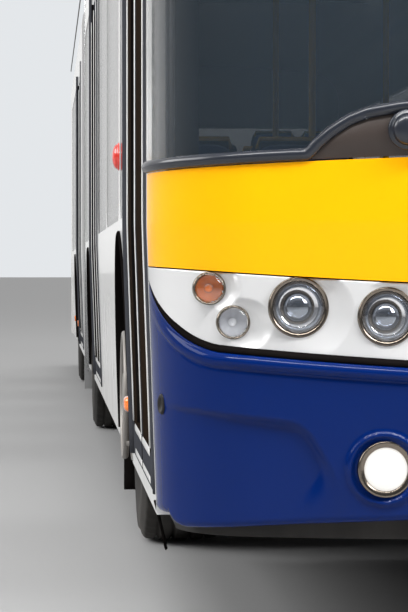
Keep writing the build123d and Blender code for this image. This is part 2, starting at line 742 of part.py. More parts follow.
with BuildPart() as rear_roof:
    shell = roof(REAR_START_Y, TAIL_Y + 10, TAIL_SIDE_Y, TAIL_Y, TAIL_CORNER_R, REAR_START_Y)
    add(shell.part)
    roof_unit(REAR_UNIT_Y, REAR_UNIT_LENGTH)
    fillet(rear_roof.faces().sort_by(Axis.Z)[-1].edges(), UNIT_EDGE_R)
    roof_hatch(REAR_HATCH)
keep("rear_roof", rear_roof.part)


# Lamps on the sides
def skin_plane(side, y, z):
    """Plane on the body side at a place, with its normal outward: local x is Y."""
    lean = 0 if z >= KNEE_Z else math.atan(SKIRT_LEAN / (KNEE_Z - SKIRT_Z))
    origin = (side * (skin_x(z) + SEAT_GAP), y, z)
    return Plane(origin=origin, x_dir=(0, 1, 0), z_dir=(side * math.cos(lean), 0, -math.sin(lean)))


def dome(side, y, z):
    """Round repeater with a domed face."""
    face = skin_plane(side, y, z)
    for foot, radius, depth, taper in ((0, DOME_R, 10, 0), (10, DOME_R - 4, DOME_PROUD - 10, 40)):
        with BuildSketch(face.offset(foot)) as base:
            Circle(radius)
        extrude(base.sketch, amount=depth, taper=taper)


def marker(side, y):
    """Oblong side marker on the leaning skirt."""
    with BuildSketch(skin_plane(side, y, MARKER_Z)) as foot:
        SlotOverall(MARKER_LENGTH, MARKER_H)
    extrude(foot.sketch, amount=MARKER_PROUD, taper=15)


# Nose panels
with BuildPart() as upper_front_panel:
    nose_shell(0, PANEL_THICK, SHELL_TOP_Z)
    front_view_cut(yellow_outline)
keep("upper_front_panel", upper_front_panel.part)

with BuildPart() as headlamp_panel:
    nose_shell(0, PANEL_THICK, SHELL_TOP_Z)
    front_view_cut(lamp_panel_outline)
    lamp_holes(PANEL_GAP)
    scoops()
keep("headlamp_panel", headlamp_panel.part)

with BuildPart() as front_bumper:
    nose_shell(0, PANEL_THICK, SHELL_TOP_Z, proud=BUMPER_PROUD - LIP_ROLL)
    front_view_cut(bumper_outline)
    sunken_form(FACET_FACE, facet_outline)
    raised_form(BUMPER_PROUD, lip_outline)
    raised_form(BUMPER_PROUD - LIP_ROLL + BEAD_ROLL, bead_outline)
    lamp_holes(PANEL_GAP)
keep("front_bumper", front_bumper.part)

with BuildPart() as front_lamps:
    for side, x, z, bezel_r, lens_r, proud, inboard, down in lamp_places():
        front = lamp_y(x) - proud
        with BuildSketch(section_plane(front + LAMP_DEPTH)):
            with Locations((x, z)):
                Circle(bezel_r)
        extrude(amount=LAMP_DEPTH)
        with BuildSketch(section_plane(front + LENS_SET)):
            with Locations((x, z)):
                Circle(lens_r)
        extrude(amount=LENS_SET, mode=Mode.SUBTRACT)
    for side, y, z in DOMES:
        dome(side, y, z)
    for side, y in FRONT_MARKERS:
        marker(side, y)
keep("front_lamps", front_lamps.part)

with BuildPart() as cowl_panel:
    nose_shell(1, SCREEN_INSET - 3, COWL_TOP_Z + 20)
    front_view_cut(cowl_outline)
    for side in (-1, 1):
        x = side * WIPER_X
        with BuildSketch(section_plane(lamp_y(x) + 8)):
            with Locations((x, WIPER_Z)):
                Circle(WIPER_BOSS_R)
        extrude(amount=WIPER_BOSS_H)
        with BuildPart(mode=Mode.PRIVATE) as wiper:
            nose_shell(-WIPER_LIFT, WIPER_THICK, COWL_TOP_Z)
            with BuildSketch(section_plane(NOSE_SIDE_Y + THROUGH / 10)):
                with Locations((x - side * (WIPER_LENGTH / 2 - 20), WIPER_Z)):
                    RectangleRounded(WIPER_LENGTH, WIPER_H, WIPER_H / 2 - 1)
            extrude(amount=NOSE_DEPTH + THROUGH, mode=Mode.INTERSECT)
        add(wiper.part)
keep("cowl_panel", cowl_panel.part)

# Windscreen: wraps both corners and leans back to the roof
with BuildPart() as windscreen:
    screen_foot = nose_ring(YELLOW_TOP_SIDE_Z, SCREEN_INSET, SCREEN_GLASS)
    screen_head = nose_ring(CANT_Z - SEAT_GAP, SCREEN_INSET, SCREEN_GLASS, SCREEN_TOP_Y, SCREEN_TOP_CORNER_R)
    loft([screen_foot, screen_head])
    front_view_cut(screen_outline)
keep("windscreen", windscreen.part)

# Frame behind the nose: inner wall, pillars, header
FRAME_INSET = PANEL_THICK + SEAT_GAP
PILLAR_X = HALF_W - 95
PILLAR_W = 56
PILLAR_DEPTH = 50
PILLAR_Y = NOSE_SIDE_Y - 26
HEADER_H = 90
BLIND_BOX_Z = CANT_Z - 330
BLIND_BOX_H = 260
with BuildPart() as front_frame:
    nose_shell(FRAME_INSET, FRAME_THICK, YELLOW_TOP_SIDE_Z, z_low=BUMPER_BOTTOM_MID_Z + 5)
    lamp_holes(SEAT_GAP)
    with BuildSketch(Plane.XY.offset(FLOOR_Z + SEAT_GAP)):
        for side in (-1, 1):
            with Locations((side * PILLAR_X, PILLAR_Y)):
                Rectangle(PILLAR_W, PILLAR_DEPTH)
    extrude(amount=CANT_Z - FLOOR_Z - 2 * SEAT_GAP)
    with BuildSketch(Plane.XY.offset(CANT_Z - HEADER_H)):
        with Locations((0, PILLAR_Y)):
            Rectangle(2 * PILLAR_X + PILLAR_DEPTH, PILLAR_DEPTH)
    extrude(amount=HEADER_H - SEAT_GAP)
    with BuildSketch(Plane.XY.offset(BLIND_BOX_Z)):
        with Locations((0, NOSE_SIDE_Y - 110)):
            Rectangle(2 * HALF_W - 850, 120)
    extrude(amount=BLIND_BOX_H)
keep("front_frame", front_frame.part)


# Floors with wheelhouses, beams and the tongue that reaches the turntable
def wheelhouse(side, axle_y, inner_x):
    """Box over a wheel, open below and to the outside."""
    outer_x = HALF_W - WALL
    with BuildSketch(Plane.XY.offset(BODY_BOTTOM_Z)) as box:
        with Locations((side * (inner_x + outer_x) / 2, axle_y)):
            Rectangle(outer_x - inner_x, 2 * WHEELHOUSE_HALF)
    extrude(box.sketch, amount=WHEELHOUSE_TOP - BODY_BOTTOM_Z)


def wheelhouse_room(side, axle_y, inner_x, slot_z):
    """The room for the wheel, and a slot for the axle beam up to slot_z."""
    sheet = WHEELHOUSE_SHEET
    outer_x = HALF_W + 10
    with BuildSketch(Plane.XY.offset(BODY_BOTTOM_Z - 20)) as room:
        with Locations((side * (inner_x + sheet + outer_x) / 2, axle_y)):
            Rectangle(outer_x - inner_x - sheet, 2 * WHEELHOUSE_HALF - 2 * sheet)
    extrude(room.sketch, amount=WHEELHOUSE_TOP - BODY_BOTTOM_Z + 20 - sheet, mode=Mode.SUBTRACT)
    with BuildSketch(Plane.XY.offset(BODY_BOTTOM_Z - 20)) as slot:
        with Locations((side * (inner_x + sheet / 2), axle_y)):
            Rectangle(2 * sheet, 2 * AXLE_SLOT)
    extrude(slot.sketch, amount=slot_z - BODY_BOTTOM_Z + 20, mode=Mode.SUBTRACT)
    y0 = axle_y - WHEELHOUSE_HALF - 5
    y1 = axle_y + WHEELHOUSE_HALF + 5
    strip(side, -60, WALL + SEAT_GAP, BODY_BOTTOM_Z - 20, WHEELHOUSE_TOP + 5, y0, y1, Mode.SUBTRACT)


BEAM_X = 480
BEAM_W = 70
FLOOR_HALF = skin_x(FLOOR_Z - FLOOR_THICK) - WALL - SEAT_GAP
BEAM_LOW = 188
BEAM_HIGH = 262
AXLE_SLOT = 92
BEAM_END = 90
with BuildPart() as front_floor:
    with BuildSketch(Plane.XY.offset(FLOOR_Z - FLOOR_THICK)):
        with Locations((0, (NOSE_SIDE_Y + FRONT_END_Y) / 2)):
            Rectangle(2 * FLOOR_HALF, FRONT_END_Y - NOSE_SIDE_Y)
        floor_inset = SKIRT_LEAN + FRAME_INSET + FRAME_THICK + 1
        cap_face(NOSE_SIDE_Y, NOSE_Y, NOSE_CORNER_R, floor_inset, NOSE_SIDE_Y + 10)
        with Locations((0, (FRONT_END_Y + PIVOT_Y) / 2)):
            Rectangle(2 * TONGUE_HALF, PIVOT_Y - FRONT_END_Y)
        with Locations((0, PIVOT_Y)):
            Circle(DISC_R + DISC_CLEAR, mode=Mode.SUBTRACT)
    extrude(amount=FLOOR_THICK)
    for side in (-1, 1):
        for y0, y1 in (
            (NOSE_SIDE_Y, FRONT_AXLE_Y - BEAM_END),
            (FRONT_AXLE_Y + BEAM_END, MIDDLE_AXLE_Y - BEAM_END),
            (MIDDLE_AXLE_Y + BEAM_END, FRONT_END_Y),
        ):
            with BuildSketch(Plane.XY.offset(BODY_BOTTOM_Z)):
                with Locations((side * BEAM_X, (y0 + y1) / 2)):
                    Rectangle(BEAM_W, y1 - y0)
            extrude(amount=FLOOR_Z - FLOOR_THICK - BODY_BOTTOM_Z)
        wheelhouse(side, FRONT_AXLE_Y, FRONT_HOUSE_X)
        wheelhouse(side, MIDDLE_AXLE_Y, DUAL_HOUSE_X)
        wheelhouse_room(side, FRONT_AXLE_Y, FRONT_HOUSE_X, BEAM_HIGH + 8)
        wheelhouse_room(side, MIDDLE_AXLE_Y, DUAL_HOUSE_X, BEAM_HIGH + 8)
    with BuildSketch(Plane.XY.offset(BODY_BOTTOM_Z + 15)):
        with Locations((0, (MIDDLE_AXLE_Y + 90 + PIVOT_Y) / 2)):
            Rectangle(560, PIVOT_Y - MIDDLE_AXLE_Y - 90)
        with Locations((0, PIVOT_Y)):
            Circle(BEARING_R)
            Circle(HUB_PIN_R + 0.5, mode=Mode.SUBTRACT)
    extrude(amount=FLOOR_Z - FLOOR_THICK - BODY_BOTTOM_Z - 15)
keep("front_floor", front_floor.part)

# Turntable: the disc in the floor with its hub pin
with BuildPart() as turntable:
    with BuildSketch(Plane.XY.offset(FLOOR_Z - DISC_THICK)):
        with Locations((0, PIVOT_Y)):
            Circle(DISC_R)
    extrude(amount=DISC_THICK)
    with BuildSketch(Plane.XY.offset(FLOOR_Z - FLOOR_THICK + 0.5)):
        with Locations((0, PIVOT_Y)):
            Circle(BEARING_R - 20)
    extrude(amount=FLOOR_THICK - DISC_THICK)
    with BuildSketch(Plane.XY.offset(HOOP_BAR_Z0 + 5)):
        with Locations((0, PIVOT_Y)):
            Circle(HUB_PIN_R)
    extrude(amount=FLOOR_Z - HOOP_BAR_Z0 - 20)
keep("turntable", turntable.part)

with BuildPart() as rear_floor:
    with BuildSketch(Plane.XY.offset(FLOOR_Z - FLOOR_THICK)):
        with Locations((0, (REAR_START_Y + TAIL_SIDE_Y) / 2)):
            Rectangle(2 * FLOOR_HALF, TAIL_SIDE_Y - REAR_START_Y)
        with Locations((0, (PIVOT_Y + REAR_START_Y) / 2)):
            Rectangle(2 * TONGUE_HALF, REAR_START_Y - PIVOT_Y)
        with Locations((0, PIVOT_Y)):
            Circle(DISC_R + SEAT_GAP, mode=Mode.SUBTRACT)
        with Locations((0, (REAR_PLATFORM_Y + 200 + TAIL_SIDE_Y + 100) / 2)):
            Rectangle(1400, TAIL_SIDE_Y + 100 - REAR_PLATFORM_Y - 200, mode=Mode.SUBTRACT)
    extrude(amount=FLOOR_THICK)
    with BuildSketch(Plane.XY.offset(REAR_PLATFORM_Z - 40)):
        with Locations((0, (REAR_PLATFORM_Y + TAIL_SIDE_Y) / 2)):
            Rectangle(2 * (HALF_W - WALL - 1), TAIL_SIDE_Y - REAR_PLATFORM_Y)
    extrude(amount=40)
    with BuildSketch(Plane.XY.offset(FLOOR_Z)):
        with Locations((0, REAR_PLATFORM_Y + 20)):
            Rectangle(2 * FLOOR_HALF, 40)
    extrude(amount=REAR_PLATFORM_Z - FLOOR_Z)
    for side in (-1, 1):
        for y0, y1 in ((REAR_START_Y, REAR_AXLE_Y - BEAM_END), (REAR_AXLE_Y + BEAM_END, TAIL_SIDE_Y)):
            with BuildSketch(Plane.XY.offset(BODY_BOTTOM_Z)):
                with Locations((side * BEAM_X, (y0 + y1) / 2)):
                    Rectangle(BEAM_W, y1 - y0)
            extrude(amount=FLOOR_Z - FLOOR_THICK - BODY_BOTTOM_Z)
        wheelhouse(side, REAR_AXLE_Y, DUAL_HOUSE_X)
        wheelhouse_room(side, REAR_AXLE_Y, DUAL_HOUSE_X, BEAM_HIGH + 8)
keep("rear_floor", rear_floor.part)


# Bellows: folded cloth over an inverted U, and the hoop that holds its middle
def u_sketch(y, half, inset, below):
    """Section of the folded cloth at y, drawn in from its outermost fold."""
    with BuildSketch(section_plane(y)) as section:
        u_face(half - inset, BELLOWS_BOTTOM_Z - below, BELLOWS_TOP_Z - inset, BELLOWS_CORNER_R - inset)
    return section.sketch


def bellows_part(y0, y1):
    """Zigzag of cloth: at each fold the U is a little larger or smaller."""
    pitch = (y1 - y0) / BELLOWS_FOLDS
    half = HALF_W - BELLOWS_INSET
    with BuildPart() as cloth:
        for i in range(BELLOWS_FOLDS):
            start = y0 + i * pitch
            for ya, yb, da, db in (
                (start, start + pitch / 2, 0, BELLOWS_DEPTH),
                (start + pitch / 2, start + pitch, BELLOWS_DEPTH, 0),
            ):
                loft([u_sketch(ya, half, da, 0), u_sketch(yb, half, db, 0)])
        for i in range(BELLOWS_FOLDS):
            start = y0 + i * pitch
            for ya, yb, da, db in (
                (start, start + pitch / 2, 0, BELLOWS_DEPTH),
                (start + pitch / 2, start + pitch, BELLOWS_DEPTH, 0),
            ):
                da += BELLOWS_CLOTH
                db += BELLOWS_CLOTH
                loft([u_sketch(ya, half, da, 10), u_sketch(yb, half, db, 10)], mode=Mode.SUBTRACT)
    return cloth.part


def u_face(half, bottom, top, corner):
    """Filled outline of the inverted U."""
    with BuildLine() as outline:
        Line((-half, bottom), (-half, top - corner))
        RadiusArc((-half, top - corner), (-half + corner, top), corner)
        Line((-half + corner, top), (half - corner, top))
        RadiusArc((half - corner, top), (half, top - corner), corner)
        Line((half, top - corner), (half, bottom))
        Line((half, bottom), (-half, bottom))
    make_face(outline.edges())


with BuildPart() as bellows:
    add(bellows_part(FRONT_END_Y + SEAT_GAP, PIVOT_Y - HOOP_HALF - SEAT_GAP))
    add(bellows_part(PIVOT_Y + HOOP_HALF + SEAT_GAP, REAR_START_Y - SEAT_GAP))
keep("bellows", bellows.part)

with BuildPart() as bellows_hoop:
    hoop_half = HALF_W - 5
    hoop_top = BELLOWS_TOP_Z + 25
    with BuildSketch(section_plane(PIVOT_Y + HOOP_HALF)):
        u_face(hoop_half, HOOP_BAR_Z0, hoop_top, BELLOWS_CORNER_R + 20)
        with BuildSketch(mode=Mode.SUBTRACT):
            u_face(hoop_half - HOOP_THICK, HOOP_BAR_Z0 + HOOP_THICK, hoop_top - HOOP_THICK, BELLOWS_CORNER_R)
    extrude(amount=2 * HOOP_HALF)
    with BuildSketch(Plane.XY.offset(HOOP_BAR_Z0)):
        with Locations((0, PIVOT_Y)):
            Circle(HUB_PIN_R + 50)
    extrude(amount=HOOP_THICK)
    with BuildSketch(Plane.XY.offset(HOOP_BAR_Z0 - 1)):
        with Locations((0, PIVOT_Y)):
            Circle(HUB_PIN_R + 0.5)
    extrude(amount=HOOP_THICK + 2, mode=Mode.SUBTRACT)
keep("bellows_hoop", bellows_hoop.part)


LAMP_SET = 18
REAR_LAMP_X0 = HALF_W - 190
REAR_LAMP_X1 = HALF_W - 50
REAR_LAMP_Z0 = 700
REAR_LAMP_Z1 = 1130


def tail_band(inset, thick, side, mode, clear):
    """Upright band around one rear corner, where a lamp sits."""
    with BuildPart(mode=Mode.PRIVATE) as band:
        with BuildSketch(Plane.XY.offset(REAR_LAMP_Z0 - clear)):
            cap_face(TAIL_SIDE_Y, TAIL_Y, TAIL_CORNER_R, inset, TAIL_SIDE_Y)
            cap_face(TAIL_SIDE_Y, TAIL_Y, TAIL_CORNER_R, inset + thick, TAIL_SIDE_Y - 50, Mode.SUBTRACT)
            with Locations((side * (REAR_LAMP_X0 + REAR_LAMP_X1) / 2, TAIL_Y)):
                Rectangle(REAR_LAMP_X1 - REAR_LAMP_X0 + 2 * clear, 2 * TAIL_DEPTH, mode=Mode.INTERSECT)
        extrude(amount=REAR_LAMP_Z1 - REAR_LAMP_Z0 + 2 * clear)
    add(band.part, mode=mode)


# Tail: rounded rear wall with the window and the opening for the hatch
with BuildPart() as rear_end:
    with BuildSketch(Plane.XY.offset(SKIRT_Z)):
        cap_face(TAIL_SIDE_Y, TAIL_Y, TAIL_CORNER_R, 0, TAIL_SIDE_Y)
        cap_face(TAIL_SIDE_Y, TAIL_Y, TAIL_CORNER_R, WALL, TAIL_SIDE_Y - 50, Mode.SUBTRACT)
    extrude(amount=CANT_Z - SKIRT_Z)
    with BuildSketch(section_plane(TAIL_Y + THROUGH / 10)):
        with Locations((0, (HATCH_Z0 + HATCH_Z1) / 2)):
            Rectangle(2 * HATCH_HALF + 2 * HATCH_GAP, HATCH_Z1 - HATCH_Z0 + 2 * HATCH_GAP)
    extrude(amount=THROUGH, mode=Mode.SUBTRACT)
    glass_w = 2 * REAR_GLASS_HALF
    glass_h = REAR_GLASS_Z1 - REAR_GLASS_Z0
    for edge, depth in ((-REBATE_EDGE, THROUGH), (GLASS_GAP, THROUGH / 10 + REBATE - 1 + GLASS)):
        with BuildSketch(section_plane(TAIL_Y + THROUGH / 10)):
            with Locations((0, (REAR_GLASS_Z0 + REAR_GLASS_Z1) / 2)):
                RectangleRounded(glass_w + 2 * edge, glass_h + 2 * edge, WINDOW_R)
        extrude(amount=depth, mode=Mode.SUBTRACT)
    for x in HINGE_PLACES:
        with BuildSketch(side_plane(x - HINGE_LENGTH / 2 - 11)):
            with Locations((HINGE_Y, HINGE_Z)):
                Circle(HINGE_PIN_R)
        extrude(amount=HINGE_LENGTH + 22)
        for end in (-1, 1):
            with BuildSketch(side_plane(x + end * (HINGE_LENGTH / 2 + 6) - 5)):
                with Locations((HINGE_Y - 6, HINGE_Z + 8)):
                    Rectangle(20, 24)
            extrude(amount=10)
    for side in (-1, 1):
        tail_band(-10, 10 + LAMP_SET, side, Mode.SUBTRACT, SEAT_GAP)
keep("rear_end", rear_end.part)

with BuildPart() as engine_hatch:
    with BuildSketch(section_plane(HINGE_Y)):
        with Locations((0, (HATCH_Z0 + HATCH_Z1) / 2)):
            RectangleRounded(2 * HATCH_HALF, HATCH_Z1 - HATCH_Z0, 20)
    extrude(amount=HATCH_THICK)
    for x in HINGE_PLACES:
        with BuildSketch(section_plane(HINGE_Y + 20)):
            with Locations((x, HATCH_Z1)):
                Rectangle(HINGE_LENGTH + 2 * HINGE_NOTCH, 60)
        extrude(amount=HATCH_THICK + 40, mode=Mode.SUBTRACT)
        with BuildSketch(side_plane(x - HINGE_LENGTH / 2)):
            with Locations((HINGE_Y, HINGE_Z)):
                Circle(HINGE_R)
            with Locations((HINGE_Y - 8, HINGE_Z - 20)):
                Rectangle(14, 40)
            with Locations((HINGE_Y, HINGE_Z)):
                Circle(HINGE_PIN_R + PIN_CLEAR, mode=Mode.SUBTRACT)
        extrude(amount=HINGE_LENGTH)
keep("engine_hatch", engine_hatch.part)

ENGINE_Y = REAR_PLATFORM_Y + 900
ENGINE_Z = 430
ENGINE_W = 900
ENGINE_LENGTH = 1100
ENGINE_HEIGHT = 520
with BuildPart() as engine:
    with BuildSketch(Plane.XY.offset(ENGINE_Z)):
        with Locations((0, ENGINE_Y)):
            Rectangle(ENGINE_W, ENGINE_LENGTH)
    extrude(amount=ENGINE_HEIGHT)
    with BuildSketch(Plane.XY.offset(BODY_BOTTOM_Z + 10)):
        with Locations((0, ENGINE_Y)):
            Rectangle(2 * BEAM_X - BEAM_W - 2 * SEAT_GAP, 300)
    extrude(amount=ENGINE_Z - BODY_BOTTOM_Z)
keep("engine", engine.part)

with BuildPart() as rear_lamps:
    for side in (-1, 1):
        tail_band(-4, 4 + LAMP_SET - SEAT_GAP, side, Mode.ADD, 0)
    for side, y in REAR_MARKERS:
        marker(side, y)
keep("rear_lamps", rear_lamps.part)


# Wheels: tyres with rounded shoulders, disc wheels with a dished centre and nuts
def tyre_profile(x):
    """Tyre section about the wheel axis, centred on x, drawn in the plane of X and Z."""
    half = TYRE_W / 2
    tread = TYRE_R - TREAD_R_DROP
    wall = TYRE_R - SIDEWALL_DROP
    bead_z = TYRE_BORE_R
    with BuildLine() as outline:
        ThreePointArc((x - half + SHOULDER_W, tread), (x, TYRE_R), (x + half - SHOULDER_W, tread))
        for way in (-1, 1):
            edge = x + way * half
            shoulder = (edge - way * SHOULDER_W, tread)
            bead = (edge - way * BEAD_INSET, bead_z)
            ThreePointArc(shoulder, (edge - way * SHOULDER_LEAN, tread - SHOULDER_DROP), (edge, wall))
            ThreePointArc((edge, wall), (edge - way * BEAD_LEAN, bead_z + BEAD_RISE), bead)
        Line((x - half + BEAD_INSET, bead_z), (x + half - BEAD_INSET, bead_z))
    make_face(outline.edges())


def axle_plane(axle_y):
    """Upright plane through an axle's centre line: local x is X, local y is height above it."""
    return Plane(origin=(0, axle_y, TYRE_R), x_dir=(1, 0, 0), z_dir=(0, -1, 0))


def tyre(axle_y, places):
    axis = Axis((0, axle_y, TYRE_R), (1, 0, 0))
    with BuildPart() as rubber:
        for x in places:
            with BuildSketch(axle_plane(axle_y)):
                tyre_profile(x)
            revolve(axis=axis)
    return rubber.part


def rim(axle_y, side, places, discs, hub_from, hub_to, guard):
    """Disc wheels on one hub: a barrel for each tyre, its disc, the hub and the nuts."""
    axis = Axis((0, axle_y, TYRE_R), (1, 0, 0))
    barrel = TYRE_W / 2 - BARREL_INSET
    nut_x = discs[0][0]
    with BuildPart() as wheel:
        for x in places:
            with BuildSketch(axle_plane(axle_y)):
                with Locations((side * x, RIM_R - 9)):
                    Rectangle(2 * barrel, 18)
                for end in (-1, 1):
                    with Locations((side * (x + end * (barrel - RIM_LIP / 2)), RIM_R)):
                        Rectangle(RIM_LIP, RIM_LIP)
            revolve(axis=axis)
        for hub_x, rim_x, thick in discs:
            with BuildSketch(axle_plane(axle_y)):
                with BuildLine():
                    Polyline(
                        (side * hub_x, HUB_R - 10),
                        (side * hub_x, GUARD_R - 12),
                        (side * rim_x, RIM_R - 12),
                        (side * (rim_x - thick), RIM_R - 12),
                        (side * (hub_x - thick), GUARD_R - 20),
                        (side * (hub_x - thick), HUB_R - 10),
                        close=True,
                    )
                make_face()
            revolve(axis=axis)
        with BuildSketch(axle_plane(axle_y)):
            with BuildLine():
                Polyline(
                    (side * hub_from, 0),
                    (side * hub_from, HUB_R),
                    (side * (hub_to - 30), HUB_R),
                    (side * hub_to, HUB_R - 25),
                    (side * hub_to, 0),
                    close=True,
                )
            make_face()
        revolve(axis=axis)
        face = Plane(origin=(side * nut_x, axle_y, TYRE_R), x_dir=(0, 1, 0), z_dir=(side, 0, 0))
        with BuildSketch(face.offset(HAND_HOLE_REACH)):
            with PolarLocations(HAND_HOLE_CIRCLE_R, HAND_HOLE_COUNT):
                Circle(HAND_HOLE_R)
        extrude(amount=-3 * HAND_HOLE_REACH, mode=Mode.SUBTRACT)
        with BuildSketch(face):
            with PolarLocations(NUT_CIRCLE_R, NUT_COUNT):
                RegularPolygon(NUT_R, 6)
        extrude(amount=NUT_H)
        if guard:
            with BuildSketch(face):
                Circle(GUARD_R)
                Circle(GUARD_R - GUARD_RING_W, mode=Mode.SUBTRACT)
            extrude(amount=GUARD_RING_H)
    return wheel.part


FRONT_DISC_X = FRONT_TRACK_X + 124
HUB_INSET = 90
HUB_INNER_X = FRONT_TRACK_X - HUB_INSET + 20
DUAL_MID_X = (DUAL_OUTER_X + DUAL_INNER_X) / 2
DISC_SHEET = 14
DISC_DISH = 62
HUB_LENGTH = 150
DUAL_DISCS = [
    (DUAL_MID_X + DISC_SHEET, DUAL_MID_X + DISC_DISH, DISC_SHEET),
    (DUAL_MID_X - DISC_SHEET, DUAL_MID_X - DISC_DISH, -DISC_SHEET),
]
for side, label in ((-1, "right"), (1, "left")):
    keep(f"{label}_front_tyre", tyre(FRONT_AXLE_Y, [side * FRONT_TRACK_X]))
    front_discs = [(FRONT_DISC_X, FRONT_DISC_X - DISC_DISH, DISC_SHEET)]
    keep(
        f"{label}_front_wheel",
        rim(FRONT_AXLE_Y, side, [FRONT_TRACK_X], front_discs, HUB_INNER_X, FRONT_DISC_X + DISC_DISH, True),
    )
    for axle, axle_y in (("middle", MIDDLE_AXLE_Y), ("rear", REAR_AXLE_Y)):
        keep(f"{label}_{axle}_tyres", tyre(axle_y, [side * DUAL_OUTER_X, side * DUAL_INNER_X]))
        pair = [DUAL_OUTER_X, DUAL_INNER_X]
        hub_from = DUAL_INNER_X - HUB_INSET
        hub_to = DUAL_MID_X + HUB_LENGTH
        keep(f"{label}_{axle}_wheel", rim(axle_y, side, pair, DUAL_DISCS, hub_from, hub_to, False))

# Steering knuckles: kingpin, stub axle and steering arm
KNUCKLE_HALF = 95
KNUCKLE_R = 42
STUB_R = 45
STEER_ARM_W = 40
STEER_ARM_LENGTH = 220
STEER_ARM_H = 30
for side, label in ((-1, "right"), (1, "left")):
    with BuildPart() as knuckle:
        with BuildSketch(Plane.XY.offset(TYRE_R - KNUCKLE_HALF)):
            with Locations((side * KINGPIN_X, FRONT_AXLE_Y)):
                Circle(KNUCKLE_R)
        extrude(amount=2 * KNUCKLE_HALF)
        with BuildSketch(side_plane(side * KINGPIN_X)):
            with Locations((FRONT_AXLE_Y, TYRE_R)):
                Circle(STUB_R)
        extrude(amount=side * (HUB_INNER_X - KINGPIN_X - SEAT_GAP))
        with BuildSketch(Plane.XY.offset(TYRE_R - KNUCKLE_HALF)):
            with Locations((side * (KINGPIN_X - 30), FRONT_AXLE_Y + STEER_ARM_LENGTH / 2)):
                Rectangle(STEER_ARM_W, STEER_ARM_LENGTH)
        extrude(amount=STEER_ARM_H)
    keep(f"{label}_knuckle", knuckle.part)


def beam_brackets(axle_y):
    """Brackets that seat an axle against the ends of the floor beams."""
    with BuildSketch(Plane.XY.offset(BODY_BOTTOM_Z + 8)) as brackets:
        for side in (-1, 1):
            with Locations((side * BEAM_X, axle_y)):
                Rectangle(BEAM_W - 16, 2 * (BEAM_END - SEAT_GAP))
    extrude(brackets.sketch, amount=FLOOR_Z - FLOOR_THICK - BODY_BOTTOM_Z - 16)


# Front axle: dropped beam with ends that carry the knuckles
FORK_Z0 = TYRE_R - KNUCKLE_HALF - 70
FORK_Z1 = TYRE_R - KNUCKLE_HALF - SEAT_GAP
half_beam = [
    (FRONT_HOUSE_X - 20, BEAM_LOW),
    (KINGPIN_X - 70, FORK_Z0),
    (KINGPIN_X + 40, FORK_Z0),
    (KINGPIN_X + 40, FORK_Z1),
    (KINGPIN_X - 60, FORK_Z1),
    (FRONT_HOUSE_X + 20, BEAM_HIGH),
]
with BuildPart() as front_axle:
    with BuildSketch(section_plane(FRONT_AXLE_Y + 55)):
        with BuildLine():
            Polyline(*half_beam, *[(-x, z) for x, z in reversed(half_beam)], close=True)
        make_face()
    extrude(amount=110)
    beam_brackets(FRONT_AXLE_Y)
keep("front_axle", front_axle.part)


# Dead middle axle and driven rear axle: dropped beams with stub ends in the hubs
def dropped_axle(axle_y, half_depth):
    """Low beam under the floor, upright ends inside the wheelhouses, stubs in the hubs."""
    end_x = DUAL_INNER_X - TYRE_W / 2 - 7
    with BuildPart() as beam:
        with BuildSketch(section_plane(axle_y + half_depth)):
            with Locations((0, (BEAM_LOW + BEAM_HIGH) / 2)):
                Rectangle(2 * end_x, BEAM_HIGH - BEAM_LOW)
            for side in (-1, 1):
                with Locations((side * (end_x - 32), (BEAM_LOW + TYRE_R + 90) / 2)):
                    Rectangle(64, TYRE_R + 90 - BEAM_LOW)
        extrude(amount=2 * half_depth)
        for side in (-1, 1):
            with BuildSketch(side_plane(side * end_x)):
                with Locations((axle_y, TYRE_R)):
                    Circle(STUB_R + 12)
            extrude(amount=side * (DUAL_INNER_X - HUB_INSET - end_x - SEAT_GAP))
        beam_brackets(axle_y)
    return beam.part


keep("middle_axle", dropped_axle(MIDDLE_AXLE_Y, 65))
keep("rear_axle", dropped_axle(REAR_AXLE_Y, 80))


# Doors: posts with their arms, and bent leaves with a pane and a rubber finger guard
def door_post(post_y, way):
    """Post and two arms; way is +1 where the leaf lies behind the post, -1 in front of it."""
    x = DOOR_SIDE * DOOR_LINE_X
    with BuildPart() as post:
        with BuildSketch(Plane.XY.offset(FLOOR_Z + SEAT_GAP)):
            with Locations((x, post_y)):
                Circle(POST_R)
        extrude(amount=POCKET_TOP_Z - FLOOR_Z - 2 * SEAT_GAP)
        for z in (LEAF_BOTTOM_Z - ARM_GAP - ARM_THICK, LEAF_TOP_Z + ARM_GAP):
            with BuildSketch(Plane.XY.offset(z)):
                with Locations(Location((x, post_y + way * ARM / 2, 0), 90)):
                    SlotCenterToCenter(ARM, ARM_W)
                with Locations((x, post_y + way * ARM)):
                    Circle(PIN_R + PIN_CLEAR, mode=Mode.SUBTRACT)
            extrude(amount=ARM_THICK)
    return post.part


